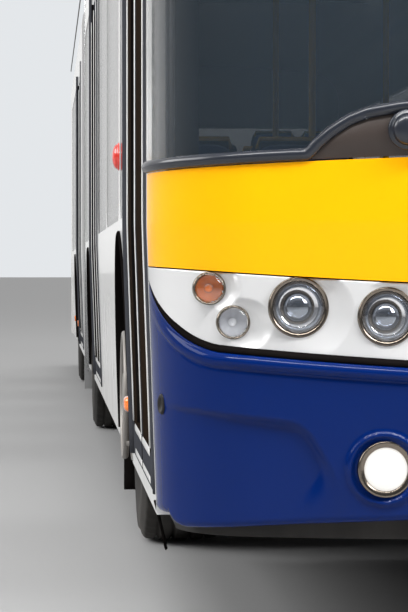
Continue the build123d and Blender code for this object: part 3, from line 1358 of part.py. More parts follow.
def door_leaf(post_y, way):
    x = DOOR_SIDE * DOOR_LINE_X
    ends = sorted((post_y + way * LEAF_JAMB_GAP, post_y + way * (2 * ARM - LEAF_MEET_GAP / 2)))
    d0 = -LEAF_PROUD
    d1 = LEAF_THICK - LEAF_PROUD
    frame = sorted((post_y + way * LEAF_JAMB_GAP, post_y + way * (2 * ARM - LEAF_MEET_GAP / 2 - GUARD_W)))
    hinge_y = post_y + way * ARM
    with BuildPart() as leaf:
        strip(DOOR_SIDE, d0, d1, LEAF_BOTTOM_Z, LEAF_TOP_Z, frame[0], frame[1])
        strip(DOOR_SIDE, d0 + 6, d1 - 6, LEAF_BOTTOM_Z, LEAF_TOP_Z, ends[0], ends[1])
        hole = (frame[0] + LEAF_FRAME, frame[1] - LEAF_FRAME)
        z0 = LEAF_BOTTOM_Z + 110
        z1 = LEAF_TOP_Z - 90
        strip(DOOR_SIDE, d0 - 5, d1 + 5, z0, z1, hole[0], hole[1], Mode.SUBTRACT)
        for edge, g0, g1, mode in (
            (REBATE_EDGE, d0 - 5, d0 + REBATE, Mode.SUBTRACT),
            (REBATE_EDGE - GLASS_GAP, d0 + REBATE - GLASS, d0 + REBATE - SEAT_GAP, Mode.ADD),
        ):
            strip(DOOR_SIDE, g0, g1, z0 - edge, z1 + edge, hole[0] - edge, hole[1] + edge, mode)
        inner_x = DOOR_LINE_X - 16
        for z0, z1, pin0, pin1 in (
            (LEAF_BOTTOM_Z, LEAF_BOTTOM_Z + 44, LEAF_BOTTOM_Z - ARM_GAP - ARM_THICK + 1, LEAF_BOTTOM_Z),
            (LEAF_TOP_Z - 44, LEAF_TOP_Z, LEAF_TOP_Z, LEAF_TOP_Z + ARM_GAP + ARM_THICK - 1),
        ):
            outer_x = skin_x(z0) - LEAF_THICK / 2
            with BuildSketch(Plane.XY.offset(z0)):
                with Locations((DOOR_SIDE * (inner_x + outer_x) / 2, hinge_y)):
                    Rectangle(outer_x - inner_x, 46)
            extrude(amount=z1 - z0)
            with BuildSketch(Plane.XY.offset(pin0)):
                with Locations((x, hinge_y)):
                    Circle(PIN_R)
            extrude(amount=pin1 - pin0)
    return leaf.part


for name, body, post_y in DOORS:
    for label, y, way in (("front", post_y, 1), ("rear", post_y + POST_SPAN, -1)):
        keep(f"{name}_{label}_post", door_post(y, way))
        keep(f"{name}_{label}_leaf", door_leaf(y, way))


# Seats, dashboard, cab partition with rails, steering wheel
def seat(x, half, y, z):
    """Seats facing the front, centred on x."""
    thick = SEAT_THICK
    with BuildSketch(side_plane(x - half)) as profile:
        with BuildLine():
            Polyline(
                (y + 120, z + SEAT_GAP),
                (y + SEAT_DEPTH - 60, z + SEAT_GAP),
                (y + SEAT_DEPTH - 60, z + SEAT_Z - thick),
                (y + SEAT_DEPTH + 40, z + SEAT_Z - thick),
                (y + SEAT_DEPTH + 120, z + SEAT_Z + SEAT_BACK_H),
                (y + SEAT_DEPTH + 65, z + SEAT_Z + SEAT_BACK_H),
                (y + SEAT_DEPTH - 20, z + SEAT_Z),
                (y, z + SEAT_Z + 10),
                (y, z + SEAT_Z - 45),
                (y + 120, z + SEAT_Z - thick),
                close=True,
            )
        make_face()
    extrude(profile.sketch, amount=2 * half)


with BuildPart() as front_seats:
    for side, y in FRONT_SEAT_ROWS:
        seat(side * SEAT_X, SEAT_W, y, FLOOR_Z)
keep("front_seats", front_seats.part)

with BuildPart() as rear_seats:
    for side, y in REAR_SEAT_ROWS:
        seat(side * SEAT_X, SEAT_W, y, FLOOR_Z)
    for side, y in TOP_SEAT_ROWS:
        seat(side * SEAT_X, SEAT_W, y, REAR_PLATFORM_Z)
keep("rear_seats", rear_seats.part)

WHEEL_X = HALF_W - 575
WHEEL_Y = NOSE_SIDE_Y + 458
WHEEL_Z = 1130
WHEEL_TILT = 35
STEERING_R = 225
COLUMN_R = 40
COLUMN_LENGTH = 460
COLUMN_DROP = 60
steering_plane = Plane(
    origin=(WHEEL_X, WHEEL_Y, WHEEL_Z),
    x_dir=(1, 0, 0),
    z_dir=(0, math.sin(math.radians(WHEEL_TILT)), math.cos(math.radians(WHEEL_TILT))),
)
DASH_Y = NOSE_SIDE_Y - 102
DASH_X = WHEEL_X - 650
DASH_W = 1100
with BuildPart() as dashboard:
    with BuildSketch(side_plane(DASH_X)):
        with BuildLine():
            Polyline(
                (DASH_Y, FLOOR_Z + SEAT_GAP),
                (DASH_Y + 140, FLOOR_Z + SEAT_GAP),
                (DASH_Y + 220, 700),
                (DASH_Y + 350, 960),
                (DASH_Y + 240, 1060),
                (DASH_Y, 1090),
                close=True,
            )
        make_face()
    extrude(amount=DASH_W)
    with BuildSketch(steering_plane.offset(-COLUMN_LENGTH - COLUMN_DROP)):
        Circle(COLUMN_R)
    extrude(amount=COLUMN_LENGTH)
keep("dashboard", dashboard.part)

with BuildPart() as steering_wheel:
    with BuildSketch(steering_plane.offset(-12)):
        Circle(STEERING_R)
        Circle(STEERING_R - 26, mode=Mode.SUBTRACT)
        Rectangle(2 * STEERING_R - 20, 34)
        with Locations((0, -STEERING_R / 2)):
            Rectangle(34, STEERING_R - 10)
        Circle(70)
    extrude(amount=24)
    with BuildSketch(steering_plane.offset(-COLUMN_DROP + SEAT_GAP)):
        Circle(COLUMN_R - 14)
    extrude(amount=COLUMN_DROP - 10)
keep("steering_wheel", steering_wheel.part)

CAB_END_Y = NOSE_SIDE_Y + 1298
CAB_X = 175
CAB_OUTER_X = HALF_W - WALL - 30
RAIL_R = 17
RAIL_LENGTH = 2380
RAIL_X = 290
RAIL_PLACES = [
    (-RAIL_X, DOOR_1_END + 180),
    (RAIL_X, FRONT_SEAT_ROWS[0][1] - 150),
    (-RAIL_X, DOORS[1][2] - 250),
    (RAIL_X, MIDDLE_AXLE_Y - HOUSE_END - 240),
    (-RAIL_X, DOOR_2_END + 250),
]
with BuildPart() as cab_partition:
    with BuildSketch(Plane.XY.offset(FLOOR_Z + SEAT_GAP)):
        with Locations(((CAB_X + CAB_OUTER_X) / 2, CAB_END_Y)):
            Rectangle(CAB_OUTER_X - CAB_X, 40)
        with Locations((CAB_X + 15, CAB_END_Y - 260)):
            Rectangle(30, 560)
    extrude(amount=1500)
    for x, y in RAIL_PLACES:
        with BuildSketch(Plane.XY.offset(FLOOR_Z + SEAT_GAP)):
            with Locations((x, y)):
                Circle(RAIL_R)
        extrude(amount=RAIL_LENGTH)
keep("cab_partition", cab_partition.part)

with BuildPart() as driver_seat:
    seat(WHEEL_X, 260, WHEEL_Y + 180, FLOOR_Z)
keep("driver_seat", driver_seat.part)

# Mirrors on brackets at both front corners
MIRROR_X = HALF_W + 125
MIRROR_Y = NOSE_Y + 180
MIRROR_Z0 = 1750
MIRROR_ARM_Z = CANT_Z + 40
with BuildPart() as mirrors:
    for side in (-1, 1):
        with BuildSketch(Plane.XY.offset(MIRROR_Z0)):
            with Locations((side * MIRROR_X, MIRROR_Y)):
                RectangleRounded(190, 90, 30)
        extrude(amount=480)
        with BuildSketch(Plane.XY.offset(MIRROR_Z0 + 470)):
            with Locations((side * MIRROR_X, MIRROR_Y)):
                Rectangle(30, 30)
        extrude(amount=MIRROR_ARM_Z - MIRROR_Z0 - 440)
        with BuildSketch(Plane.XY.offset(MIRROR_ARM_Z)):
            with Locations((side * MIRROR_X, (MIRROR_Y + NOSE_SIDE_Y + 15) / 2)):
                Rectangle(30, NOSE_SIDE_Y - MIRROR_Y + 45)
            with Locations((side * (MIRROR_X + HALF_W + SEAT_GAP) / 2, NOSE_SIDE_Y + 15)):
                Rectangle(MIRROR_X - HALF_W - SEAT_GAP, 30)
        extrude(amount=30)
keep("mirrors", mirrors.part)
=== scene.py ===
import math
from collections import namedtuple

import bpy
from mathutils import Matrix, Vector


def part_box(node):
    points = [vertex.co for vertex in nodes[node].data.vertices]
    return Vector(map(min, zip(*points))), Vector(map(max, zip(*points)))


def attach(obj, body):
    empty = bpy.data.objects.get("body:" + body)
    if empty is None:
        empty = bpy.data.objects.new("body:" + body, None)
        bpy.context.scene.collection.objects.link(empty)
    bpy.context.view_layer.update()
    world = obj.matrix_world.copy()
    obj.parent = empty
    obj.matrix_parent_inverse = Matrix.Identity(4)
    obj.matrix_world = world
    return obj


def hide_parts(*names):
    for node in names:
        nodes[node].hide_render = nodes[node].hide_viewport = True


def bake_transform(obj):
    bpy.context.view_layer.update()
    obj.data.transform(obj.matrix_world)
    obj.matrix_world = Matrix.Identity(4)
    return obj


# Looks of a low-floor articulated city bus, in metres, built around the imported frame.
# +Y is the rear, +X the driver's side, the doors are at -X, +Z is up.
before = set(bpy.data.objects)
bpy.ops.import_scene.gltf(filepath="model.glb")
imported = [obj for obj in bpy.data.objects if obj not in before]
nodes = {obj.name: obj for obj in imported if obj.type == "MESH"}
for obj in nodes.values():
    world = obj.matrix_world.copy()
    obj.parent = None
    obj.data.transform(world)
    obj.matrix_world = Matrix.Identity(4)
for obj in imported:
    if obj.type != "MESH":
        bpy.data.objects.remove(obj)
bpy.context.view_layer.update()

# Body sizes, as in the frame
WIDTH = 2.55
HALF_W = WIDTH / 2
KNEE_Z = 1.0
SKIRT_Z = 0.3
SKIRT_LEAN = 0.024
NOSE_Y = -8.978
NOSE_SIDE_Y = -8.538
NOSE_CORNER_R = 0.32
TYRE_W = 0.276
RIM_R = 0.2803
AXLES_Y = {"front": -6.3, "middle": -0.4, "rear": 5.6}
FRONT = "front_section"
REAR = "rear_section"
SECTION_AXLES = {FRONT: ("front", "middle"), REAR: ("rear",)}
DOOR_SIDE = (-1, 0, 0)
REARWARD = (0, 1, 0)
UPWARD = (0, 0, 1)

# Camera, fitted to the photograph's frame
PHOTO_H = 612
FOCAL_PX = 2500
SENSOR = 36
CAMERA_AT = (-1.52, -14.56, 0.89)
CAMERA_YAW = math.radians(3.64)
CAMERA_PITCH = math.radians(0.82)

# A lamp's inset from the side, height, bezel and lens radius, kind and how deep its face lies. Then the
# scoop round it: least and greatest reach, direction in degrees down from inboard, and how pointed it is.
Lamp = namedtuple("Lamp", "inset z bezel_r lens_r kind sunk least greatest direction point")
LAMPS = [
    Lamp(0.134, 0.848, 0.0385, 0.032, "amber", -0.010, 0.003, 0.030, -8, 1.6),
    Lamp(0.188, 0.770, 0.0395, 0.0335, "small", 0.0, 0.008, 0.050, 12, 2.6),
    Lamp(0.335, 0.805, 0.070, 0.060, "main", 0.0, 0.006, 0.056, 38, 1.0),
    Lamp(0.534, 0.784, 0.068, 0.058, "main", 0.004, 0.006, 0.056, 38, 1.0),
]
FOG_LAMP = Lamp(0.530, 0.436, 0.065, 0.050, "fog", -0.022, 0, 0, 0, 0)
BEZEL_DEPTH = 0.058
BOWL_STEPS = 12
PINHOLE = 0.0005
SCOOP_ROOT = 0.002
DEEPEST_SCOOP = 0.0185

# Panels of the nose; edges that are arched have their heights at the side and in the middle
NOSE_STEPS = 660
LAMP_PANEL_ROWS = 54
BUMPER_ROWS = 64
YELLOW_TOP = (1.121, 1.158)
YELLOW_BOTTOM = (0.900, 0.848)
BUMPER_BOTTOM = (0.282, 0.335)
LIP_POINTS = [(HALF_W, 0.862), (HALF_W - 0.042, 0.765), (HALF_W - 0.150, 0.703), (0, 0.650)]
BUMPER_PROUD = 0.014
LIP_H = 0.034
LIP_ROLL = 0.0115
LIP_GROOVE = 0.0025
LIP_DROPS = (0.001, 0.003, 0.005, 0.008, 0.012, 0.014, 0.016)
LIP_DROPS += (0.018, 0.022, 0.028, 0.031, 0.034, 0.037, 0.041)
STEP_LINE = ((1.225, 0.572), (0.924, 0.543))
SLANT_LINE = ((0.924, 0.543), (0.835, 0.395))
STEP_DEPTH = 0.017
STEP_SOFT = 0.035
BEAD_R = 0.078
BEAD_W = 0.024
BEAD_PROUD = 0.009
BUMPER_CORNER_R = 0.03
COWL_TOP = [(0.935, 1.150), (0.918, 1.158), (0.899, 1.180), (0.868, 1.207), (0.827, 1.233), (0.786, 1.249)]
COWL_TOP += [(0.712, 1.262), (0.55, 1.270), (0, 1.275)]
WIPER_X = 0.695
WIPER_Z = 1.209

# Sides: marker lamps, bumper plugs, wheels and arches
MARKER_Z = 0.484
MARKER_HALF = (0.055, 0.025)
MARKER_PROUD = 0.025
MARKER_STEPS = 8
MARKER_TURNS = 40
PLUG_X = 1.243
PLUG_Z = 0.573
TREAD_GROOVES = (-0.078, -0.028, 0.028, 0.078)
TREAD_DEPTH = 0.011
TREAD_STEPS = 150
NUT_RING_R = 0.205
FLAP_BEHIND = {"front": 0.610, "middle": 0.640, "rear": 0.640}
FLAP_STEPS = 8
FLAP_INNER_X = 0.97
FLAP_W = 0.27
FLAP_TOP = 0.44
FLAP_H = 0.33
FLAP_THICK = 0.006
ARCH_R = 0.584
ARCH_Z = 0.430
ARCH_FEET = (0.335, 0.38)
JAMB_Z = (0.345, 2.32)
GUTTER_Z = 2.74

# Faces with a finish of their own: panes and rubber of the door leaves, rails of the partition, and the
# lenses on the sides and above the rear lamps
PANE_INSETS = (-0.0012, 0.0048)
MEETING_RUBBER_W = 0.024
RAIL_THICKEST = 0.08
REAR_LAMPS_Y = 8.4
REAR_LAMPS_TOP = 1.0

# Seats: side, front edge of the cushion and floor height of each pair
FRONT_SEATS = [(side, -5.5 + 0.75 * i, 0.32) for side, rows in ((1, 6), (-1, 3)) for i in range(rows)]
REAR_SEATS = [(1, 2.5 + 0.75 * i, 0.32) for i in range(3)] + [(-1, 4.218, 0.32)]
REAR_SEATS += [(side, y, z) for side in (-1, 1) for y, z in ((6.305, 0.32), (7.355, 1.06))]
BENCH_X = 0.755
SEAT_HALF = 0.22

# Bellows between the sections
PIVOT_Y = 1.3
JOINT_ENDS = (0.65, 1.95)
FOLDS = 6
FOLD_STEPS = 8
FOLD_DEPTH = 0.075
BELLOWS_HALF = 1.245
BELLOWS_Z = (0.335, 2.810)
BELLOWS_CORNER = 0.26
CORNER_TURNS = 12
QUARTER_POINTS = 36


# Mesh helpers
def add_object(name, data):
    """A scene object for a mesh, light or camera."""
    thing = bpy.data.objects.new(name, data)
    bpy.context.scene.collection.objects.link(thing)
    return thing


def mesh_piece(name, form, material, body, replaced=None):
    """A mesh from its points and faces, on a body and in place of a node where these are named."""
    verts, faces = form
    data = bpy.data.meshes.new(name)
    data.from_pydata([tuple(v) for v in verts], [], faces)
    data.validate()
    data.update()
    for polygon in data.polygons:
        polygon.use_smooth = True
    data.materials.append(material)
    piece = add_object(name, data)
    if body:
        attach(piece, body)
    if replaced:
        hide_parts(replaced)
    return piece


def spaced(first, last, steps):
    """Evenly spaced values from first to last, one more than the steps."""
    return [first + (last - first) * i / steps for i in range(steps + 1)]


def grid_faces(rows, columns, closed_rows=False, closed_columns=False):
    """Quads over a grid of points stored row by row."""
    faces = []
    for i in range(rows if closed_rows else rows - 1):
        here, there = i * columns, (i + 1) % rows * columns
        for j in range(columns if closed_columns else columns - 1):
            following = (j + 1) % columns
            faces.append((here + j, here + following, there + following, there + j))
    return faces


def lathe(profile, centre, axis=(0, -1, 0), turns=48):
    """Points and faces of a profile of (radius, distance along the axis) turned about the axis."""
    ahead = Vector(axis).normalized()
    across = ahead.orthogonal().normalized()
    up = ahead.cross(across)
    verts = []
    for radius, along in profile:
        for k in range(turns):
            angle = 2 * math.pi * k / turns
            spoke = across * math.cos(angle) + up * math.sin(angle)
            verts.append(Vector(centre) + ahead * along + spoke * radius)
    faces = grid_faces(len(profile), turns, closed_columns=True)
    return verts, faces


def sweep(path, section, outward, closed=False):
    """A section of (out, up) points swept along a path; outward is a direction, or gives one for a point."""
    verts = []
    count = len(path)
    for i, point in enumerate(path):
        before = path[i - 1] if i or closed else path[i]
        after = path[(i + 1) % count] if i + 1 < count or closed else path[i]
        along = (Vector(after) - Vector(before)).normalized()
        out = Vector(outward(point) if callable(outward) else outward).normalized()
        up = along.cross(out).normalized()
        verts += [Vector(point) + out * a + up * b for a, b in section]
    width = len(section)
    faces = grid_faces(count, width, closed_rows=closed, closed_columns=True)
    if not closed:
        faces.append(tuple(reversed(range(width))))
        faces.append(tuple(range((count - 1) * width, count * width)))
    return verts, faces


def join(parts):
    """One list of points and faces from several."""
    verts, faces = [], []
    for more_verts, more_faces in parts:
        base = len(verts)
        verts += more_verts
        faces += [tuple(base + i for i in face) for face in more_faces]
    return verts, faces


def half_round(width, proud, steps=8, foot=0.001):
    """Half-round section: width along the wall, proud of it, with its ends let in by the foot."""
    angles = [math.pi * i / steps for i in range(steps + 1)]
    bow = [(proud * math.sin(a) - foot, -width / 2 * math.cos(a)) for a in angles[1:-1]]
    return [(-foot, -width / 2), *bow, (-foot, width / 2)]


def oval(half_out, half_up, count):
    """Section of a round or oval bar."""
    angles = [2 * math.pi * k / count for k in range(count)]
    return [(half_out * math.cos(a), half_up * math.sin(a)) for a in angles]


def dome(radius, foot, rise, steps):
    """Profile of a round cap from its rim at foot up to its middle."""
    angles = [math.pi / 2 * t / steps for t in range(steps + 1)]
    return [(max(radius * math.cos(a), PINHOLE), foot + rise * math.sin(a)) for a in angles]


# Shape of the nose
def skin_x(z):
    """Half width of the body at height z."""
    if z >= KNEE_Z:
        return HALF_W
    return HALF_W - SKIRT_LEAN * (KNEE_Z - z) / (KNEE_Z - SKIRT_Z)


def lean(z):
    """How far the body leans in at height z."""
    return HALF_W - skin_x(z)


def nose_y(x, inset=0.0):
    """Y of the nose's surface at x."""
    depth = NOSE_SIDE_Y - NOSE_Y
    cx = HALF_W - NOSE_CORNER_R
    crown_r = (cx**2 + depth**2 - NOSE_CORNER_R**2) / (2 * (depth - NOSE_CORNER_R))
    turn = math.asin(cx / (crown_r - NOSE_CORNER_R))
    tangent_x = cx + (NOSE_CORNER_R - inset) * math.sin(turn)
    if abs(x) > tangent_x:
        return NOSE_SIDE_Y - math.sqrt(max((NOSE_CORNER_R - inset) ** 2 - (abs(x) - cx) ** 2, 0))
    return NOSE_Y + inset + crown_r - inset - math.sqrt((crown_r - inset) ** 2 - x**2)


def nose_normal(x, inset=0.0):
    """Outward direction of the nose's surface at x, level."""
    step = 0.002
    reach = HALF_W - inset - step * 1.5
    x = max(-reach, min(reach, x))
    slope = (nose_y(x + step, inset) - nose_y(x - step, inset)) / (2 * step)
    return Vector((slope, -1, 0)).normalized()


def nose_out(point):
    """Outward direction of the nose's surface beside a point."""
    return nose_normal(point.x)


def smooth_step(low, high, value):
    """0 below low, 1 above high, and an S-curve between."""
    t = max(0.0, min(1.0, (value - low) / (high - low)))
    return t * t * (3 - 2 * t)


def circle_through(a, b, c):
    """Centre and radius of the circle through three points."""
    d = 2 * (a[0] * (b[1] - c[1]) + b[0] * (c[1] - a[1]) + c[0] * (a[1] - b[1]))
    squares = [p[0] ** 2 + p[1] ** 2 for p in (a, b, c)]
    x = (squares[0] * (b[1] - c[1]) + squares[1] * (c[1] - a[1]) + squares[2] * (a[1] - b[1])) / d
    z = (squares[0] * (c[0] - b[0]) + squares[1] * (a[0] - c[0]) + squares[2] * (b[0] - a[0])) / d
    return x, z, math.hypot(a[0] - x, a[1] - z)


CORNER_ARC = circle_through(*LIP_POINTS[:3])
MIDDLE_ARC = circle_through(LIP_POINTS[2], LIP_POINTS[3], (-LIP_POINTS[2][0], LIP_POINTS[2][1]))


def lip_z(x):
    """Height of the bumper's upper edge at x."""
    x = min(abs(x), HALF_W)
    if x < LIP_POINTS[2][0]:
        cx, cz, r = MIDDLE_ARC
    else:
        cx, cz, r = CORNER_ARC
    return cz - math.sqrt(max(r * r - (x - cx) ** 2, 0))


def arched(x, side_z, middle_z):
    """Height at x of an edge that is arched between the sides."""
    return middle_z - (middle_z - side_z) * (x / HALF_W) ** 2


# Shader node groups
def new_group(name, inputs, outputs):
    """Node group with inputs by name and default, and outputs by name; colours have the word in the name."""

    def kind(title):
        return "NodeSocketColor" if "Color" in title else "NodeSocketFloat"

    group = bpy.data.node_groups.new(name, "ShaderNodeTree")
    for title, default in inputs.items():
        socket = group.interface.new_socket(name=title, in_out="INPUT", socket_type=kind(title))
        socket.default_value = default
    for title in outputs:
        group.interface.new_socket(name=title, in_out="OUTPUT", socket_type=kind(title))
    return group, group.nodes.new("NodeGroupInput").outputs, group.nodes.new("NodeGroupOutput").inputs


def feed(tree, value, socket):
    """Sets a socket from another socket or a number."""
    if hasattr(value, "links"):
        tree.links.new(value, socket)
    else:
        socket.default_value = value


def math_node(tree, operation, first, second, clamp=False):
    """Maths node whose inputs are sockets or numbers."""
    node = tree.nodes.new("ShaderNodeMath")
    node.operation = operation
    node.use_clamp = clamp
    feed(tree, first, node.inputs[0])
    feed(tree, second, node.inputs[1])
    return node.outputs[0]


def times(tree, first, second, clamp=False):
    """Product of two sockets or numbers."""
    return math_node(tree, "MULTIPLY", first, second, clamp)


def mix_colors(tree, factor, first, second):
    """Colour between two others."""
    mix = tree.nodes.new("ShaderNodeMix")
    mix.data_type = "RGBA"
    for value, socket in ((factor, mix.inputs["Factor"]), (first, mix.inputs[6]), (second, mix.inputs[7])):
        feed(tree, value, socket)
    return mix.outputs[2]


def noise_node(tree, scale, detail, stretch=(1, 1, 1)):
    """Noise in the object's own space, stretched along its axes."""
    place = tree.nodes.new("ShaderNodeTexCoord")
    shape = tree.nodes.new("ShaderNodeMapping")
    shape.inputs["Scale"].default_value = stretch
    noise = tree.nodes.new("ShaderNodeTexNoise")
    tree.links.new(place.outputs["Object"], shape.inputs["Vector"])
    tree.links.new(shape.outputs["Vector"], noise.inputs["Vector"])
    feed(tree, scale, noise.inputs["Scale"])
    noise.inputs["Detail"].default_value = detail
    return noise.outputs["Fac"]


def object_axes(tree):
    """Coordinates in the object's own space, axis by axis."""
    place = tree.nodes.new("ShaderNodeTexCoord")
    split = tree.nodes.new("ShaderNodeSeparateXYZ")
    tree.links.new(place.outputs["Object"], split.inputs[0])
    return split.outputs


def build_road_film():
    """Road film: thicker towards the ground, in vertical runs."""
    grey, brown = (0.8, 0.8, 0.8, 1), (0.16, 0.14, 0.12, 1)
    group, given, result = new_group(
        "road_film",
        {"Color": grey, "Film Color": brown, "Top": 1.0, "Amount": 0.3, "Roughness": 0.2},
        ["Color", "Roughness"],
    )
    below = math_node(group, "SUBTRACT", given["Top"], object_axes(group)["Z"])
    depth = math_node(group, "DIVIDE", below, given["Top"], clamp=True)
    runs = noise_node(group, 9.0, 6.0, (1, 1, 0.12))
    cloud = noise_node(group, 2.3, 5.0)
    spread = times(group, times(group, runs, cloud), 3.0)
    mask = times(group, times(group, depth, spread), given["Amount"], True)
    rough = math_node(group, "ADD", given["Roughness"], times(group, mask, 0.5), True)
    feed(group, mix_colors(group, mask, given["Color"], given["Film Color"]), result["Color"])
    feed(group, rough, result["Roughness"])
    return group


def build_fine_grain():
    """Height of a fine grain, such as moulded plastic, rubber or the slight waves of sprayed paint."""
    values = {"Scale": 400.0, "Coarse Scale": 60.0, "Mix": 0.5}
    group, given, result = new_group("fine_grain", values, ["Height"])
    fine = noise_node(group, given["Scale"], 2.0)
    coarse = noise_node(group, given["Coarse Scale"], 3.0)
    rest = math_node(group, "SUBTRACT", 1.0, given["Mix"])
    both = math_node(group, "ADD", times(group, fine, given["Mix"]), times(group, coarse, rest))
    feed(group, both, result["Height"])
    return group


def build_weave():
    """Height and mask of a woven cloth, from two crossed sets of threads."""
    group, given, result = new_group("weave", {"Threads": 900.0}, ["Height", "Mask"])
    axes = object_axes(group)
    lie = math_node(group, "ADD", axes["Y"], axes["Z"])
    warp = math_node(group, "SINE", times(group, axes["X"], given["Threads"]), 0.0)
    weft = math_node(group, "SINE", times(group, lie, given["Threads"]), 0.0)
    feed(group, times(group, warp, weft), result["Height"])
    feed(group, noise_node(group, 30.0, 5.0), result["Mask"])
    return group


ROAD_FILM = build_road_film()
FINE_GRAIN = build_fine_grain()
WEAVE = build_weave()


def use_group(tree, group, **values):
    """Places a node group with its own values."""
    node = tree.nodes.new("ShaderNodeGroup")
    node.node_tree = group
    for title, value in values.items():
        node.inputs[title.replace("_", " ")].default_value = value
    return node


def shader_material(name, color, roughness, **sockets):
    """A material with its Principled BSDF's constants set on the sockets."""
    material = bpy.data.materials.new(name)
    material.use_nodes = True
    shader = material.node_tree.nodes["Principled BSDF"]
    shader.inputs["Base Color"].default_value = (*color, 1)
    shader.inputs["Roughness"].default_value = roughness
    for title, value in sockets.items():
        shader.inputs[title.replace("_", " ")].default_value = value
    return material, material.node_tree, shader


def add_bump(tree, shader, height, strength, distance):
    """Feeds a height to the shader's normal."""
    bump = tree.nodes.new("ShaderNodeBump")
    bump.inputs["Strength"].default_value = strength
    bump.inputs["Distance"].default_value = distance
    tree.links.new(height, bump.inputs["Height"])
    tree.links.new(bump.outputs["Normal"], shader.inputs["Normal"])


def lay_film(tree, shader, color, roughness, film, top, film_color):
    """Road film over a finish, where it gets any."""
    if film:
        values = {"Color": (*color, 1), "Film_Color": (*film_color, 1), "Top": top, "Amount": film}
        film_node = use_group(tree, ROAD_FILM, Roughness=roughness, **values)
        tree.links.new(film_node.outputs["Color"], shader.inputs["Base Color"])
        tree.links.new(film_node.outputs["Roughness"], shader.inputs["Roughness"])


def lay_grain(tree, shader, scale, coarse, share, strength, distance):
    """Fine grain as a bump."""
    grain = use_group(tree, FINE_GRAIN, Scale=scale, Coarse_Scale=coarse, Mix=share)
    add_bump(tree, shader, grain.outputs["Height"], strength, distance)


def coach_paint(name, color, film, roughness=0.22, top=1.3, metallic=0.0, coat=1.0, specular=0.5):
    """Sprayed and lacquered paint with road film towards the ground."""
    material, tree, shader = shader_material(
        name,
        color,
        roughness,
        Metallic=metallic,
        Coat_Weight=coat,
        Coat_Roughness=0.04,
        Specular_IOR_Level=specular,
    )
    lay_film(tree, shader, color, roughness, film, top, (0.16, 0.14, 0.12))
    lay_grain(tree, shader, 300.0, 14.0, 0.25, 0.035, 0.002)
    return material


def moulding(name, color, roughness, film, strength=0.25, scale=700.0, **sockets):
    """Moulded plastic or rubber with a fine grain and some dust."""
    material, tree, shader = shader_material(name, color, roughness, **sockets)
    lay_film(tree, shader, color, roughness, film, 1.4, (0.22, 0.2, 0.18))
    lay_grain(tree, shader, scale, 40.0, 0.7, strength, 0.001)
    return material


def metal(name, color, roughness, strength, film=0.0):
    """Bare or plated metal with faint scratches and film."""
    material, tree, shader = shader_material(name, color, roughness, Metallic=1.0)
    lay_film(tree, shader, color, roughness, film, 1.2, (0.2, 0.18, 0.16))
    lay_grain(tree, shader, 500.0, 90.0, 0.5, strength, 0.0006)
    return material


def glazing(name, color, veil, metallic=0.0, specular=0.8, coat=0.6):
    """Clear glass: veil is the share of light that its tint and its shine keep back."""
    material, tree, shader = shader_material(
        name, color, 0.04, Alpha=veil, Metallic=metallic, Specular_IOR_Level=specular, Coat_Weight=coat
    )
    feed(tree, times(tree, noise_node(tree, 6.0, 6.0), 0.1), shader.inputs["Roughness"])
    return material


def cloth(name, color, second, threads=900.0):
    """Woven cloth with sheen, its colour clouded with a second one."""
    material, tree, shader = shader_material(name, color, 0.9, Sheen_Weight=0.4, Sheen_Roughness=0.5)
    weave = use_group(tree, WEAVE, Threads=threads)
    clouded = mix_colors(tree, weave.outputs["Mask"], (*color, 1), (*second, 1))
    feed(tree, clouded, shader.inputs["Base Color"])
    add_bump(tree, shader, weave.outputs["Height"], 0.4, 0.0008)
    return material


WHITE = coach_paint("white_paint", (0.88, 0.88, 0.87), film=0.35, top=1.1, coat=0.4)
YELLOW = coach_paint("yellow_paint", (1.0, 0.44, 0.0), film=0.01, roughness=0.24, coat=0.16, specular=0.14)
BLUE = coach_paint("blue_paint", (0.0, 0.013, 0.105), film=0.004, roughness=0.17, coat=0.24, specular=0.03)
SILVER = coach_paint("silver_paint", (0.66, 0.66, 0.66), film=0.04, roughness=0.3, metallic=0.2, coat=0.4)
WHEEL_SILVER = coach_paint(
    "wheel_silver", (0.36, 0.34, 0.32), film=0.5, roughness=0.34, metallic=0.6, coat=0.1
)
RAIL = coach_paint("rail_yellow", (0.85, 0.50, 0.02), film=0.0)
CHASSIS = moulding("chassis_black", (0.012, 0.012, 0.012), 0.7, 0.15, Specular_IOR_Level=0.2)
TRIM = moulding("black_trim", (0.012, 0.011, 0.011), 0.45, 0.08, Specular_IOR_Level=0.25)
COWL = moulding("cowl_grey", (0.040, 0.030, 0.026), 0.42, 0.04, Specular_IOR_Level=0.35)
SEAL = moulding("slate_seal", (0.016, 0.019, 0.027), 0.22, 0.03, strength=0.08)
RUBBER = moulding("door_rubber", (0.005, 0.004, 0.004), 0.7, 0.03, Specular_IOR_Level=0.0)
FRAME_GREY = moulding(
    "door_frame_slate", (0.050, 0.052, 0.060), 0.45, 0.03, strength=0.05, Specular_IOR_Level=0.0
)
TYRE = moulding(
    "tyre_rubber", (0.011, 0.011, 0.011), 0.75, 0.22, strength=0.5, scale=350.0, Specular_IOR_Level=0.25
)
FLOORING = moulding("floor_covering", (0.10, 0.10, 0.11), 0.7, 0.1, strength=0.5)
LINING = moulding("cab_lining", (0.16, 0.165, 0.17), 0.5, 0.04)
CAST = moulding("engine_casting", (0.09, 0.09, 0.09), 0.7, 0.5, strength=0.6, scale=220.0)
FROST = moulding("lamp_frost", (0.85, 0.87, 0.9), 0.2, 0.0, strength=0.3, scale=900.0)
AMBER = moulding("amber_lens", (1.0, 0.22, 0.01), 0.12, 0.0, strength=0.1, Coat_Weight=0.8)
ORANGE_RED = moulding("repeater_lens", (0.75, 0.035, 0.02), 0.12, 0.0, strength=0.1, Coat_Weight=0.8)
RED = moulding("red_lens", (0.55, 0.008, 0.008), 0.12, 0.05, strength=0.1, Coat_Weight=0.8)
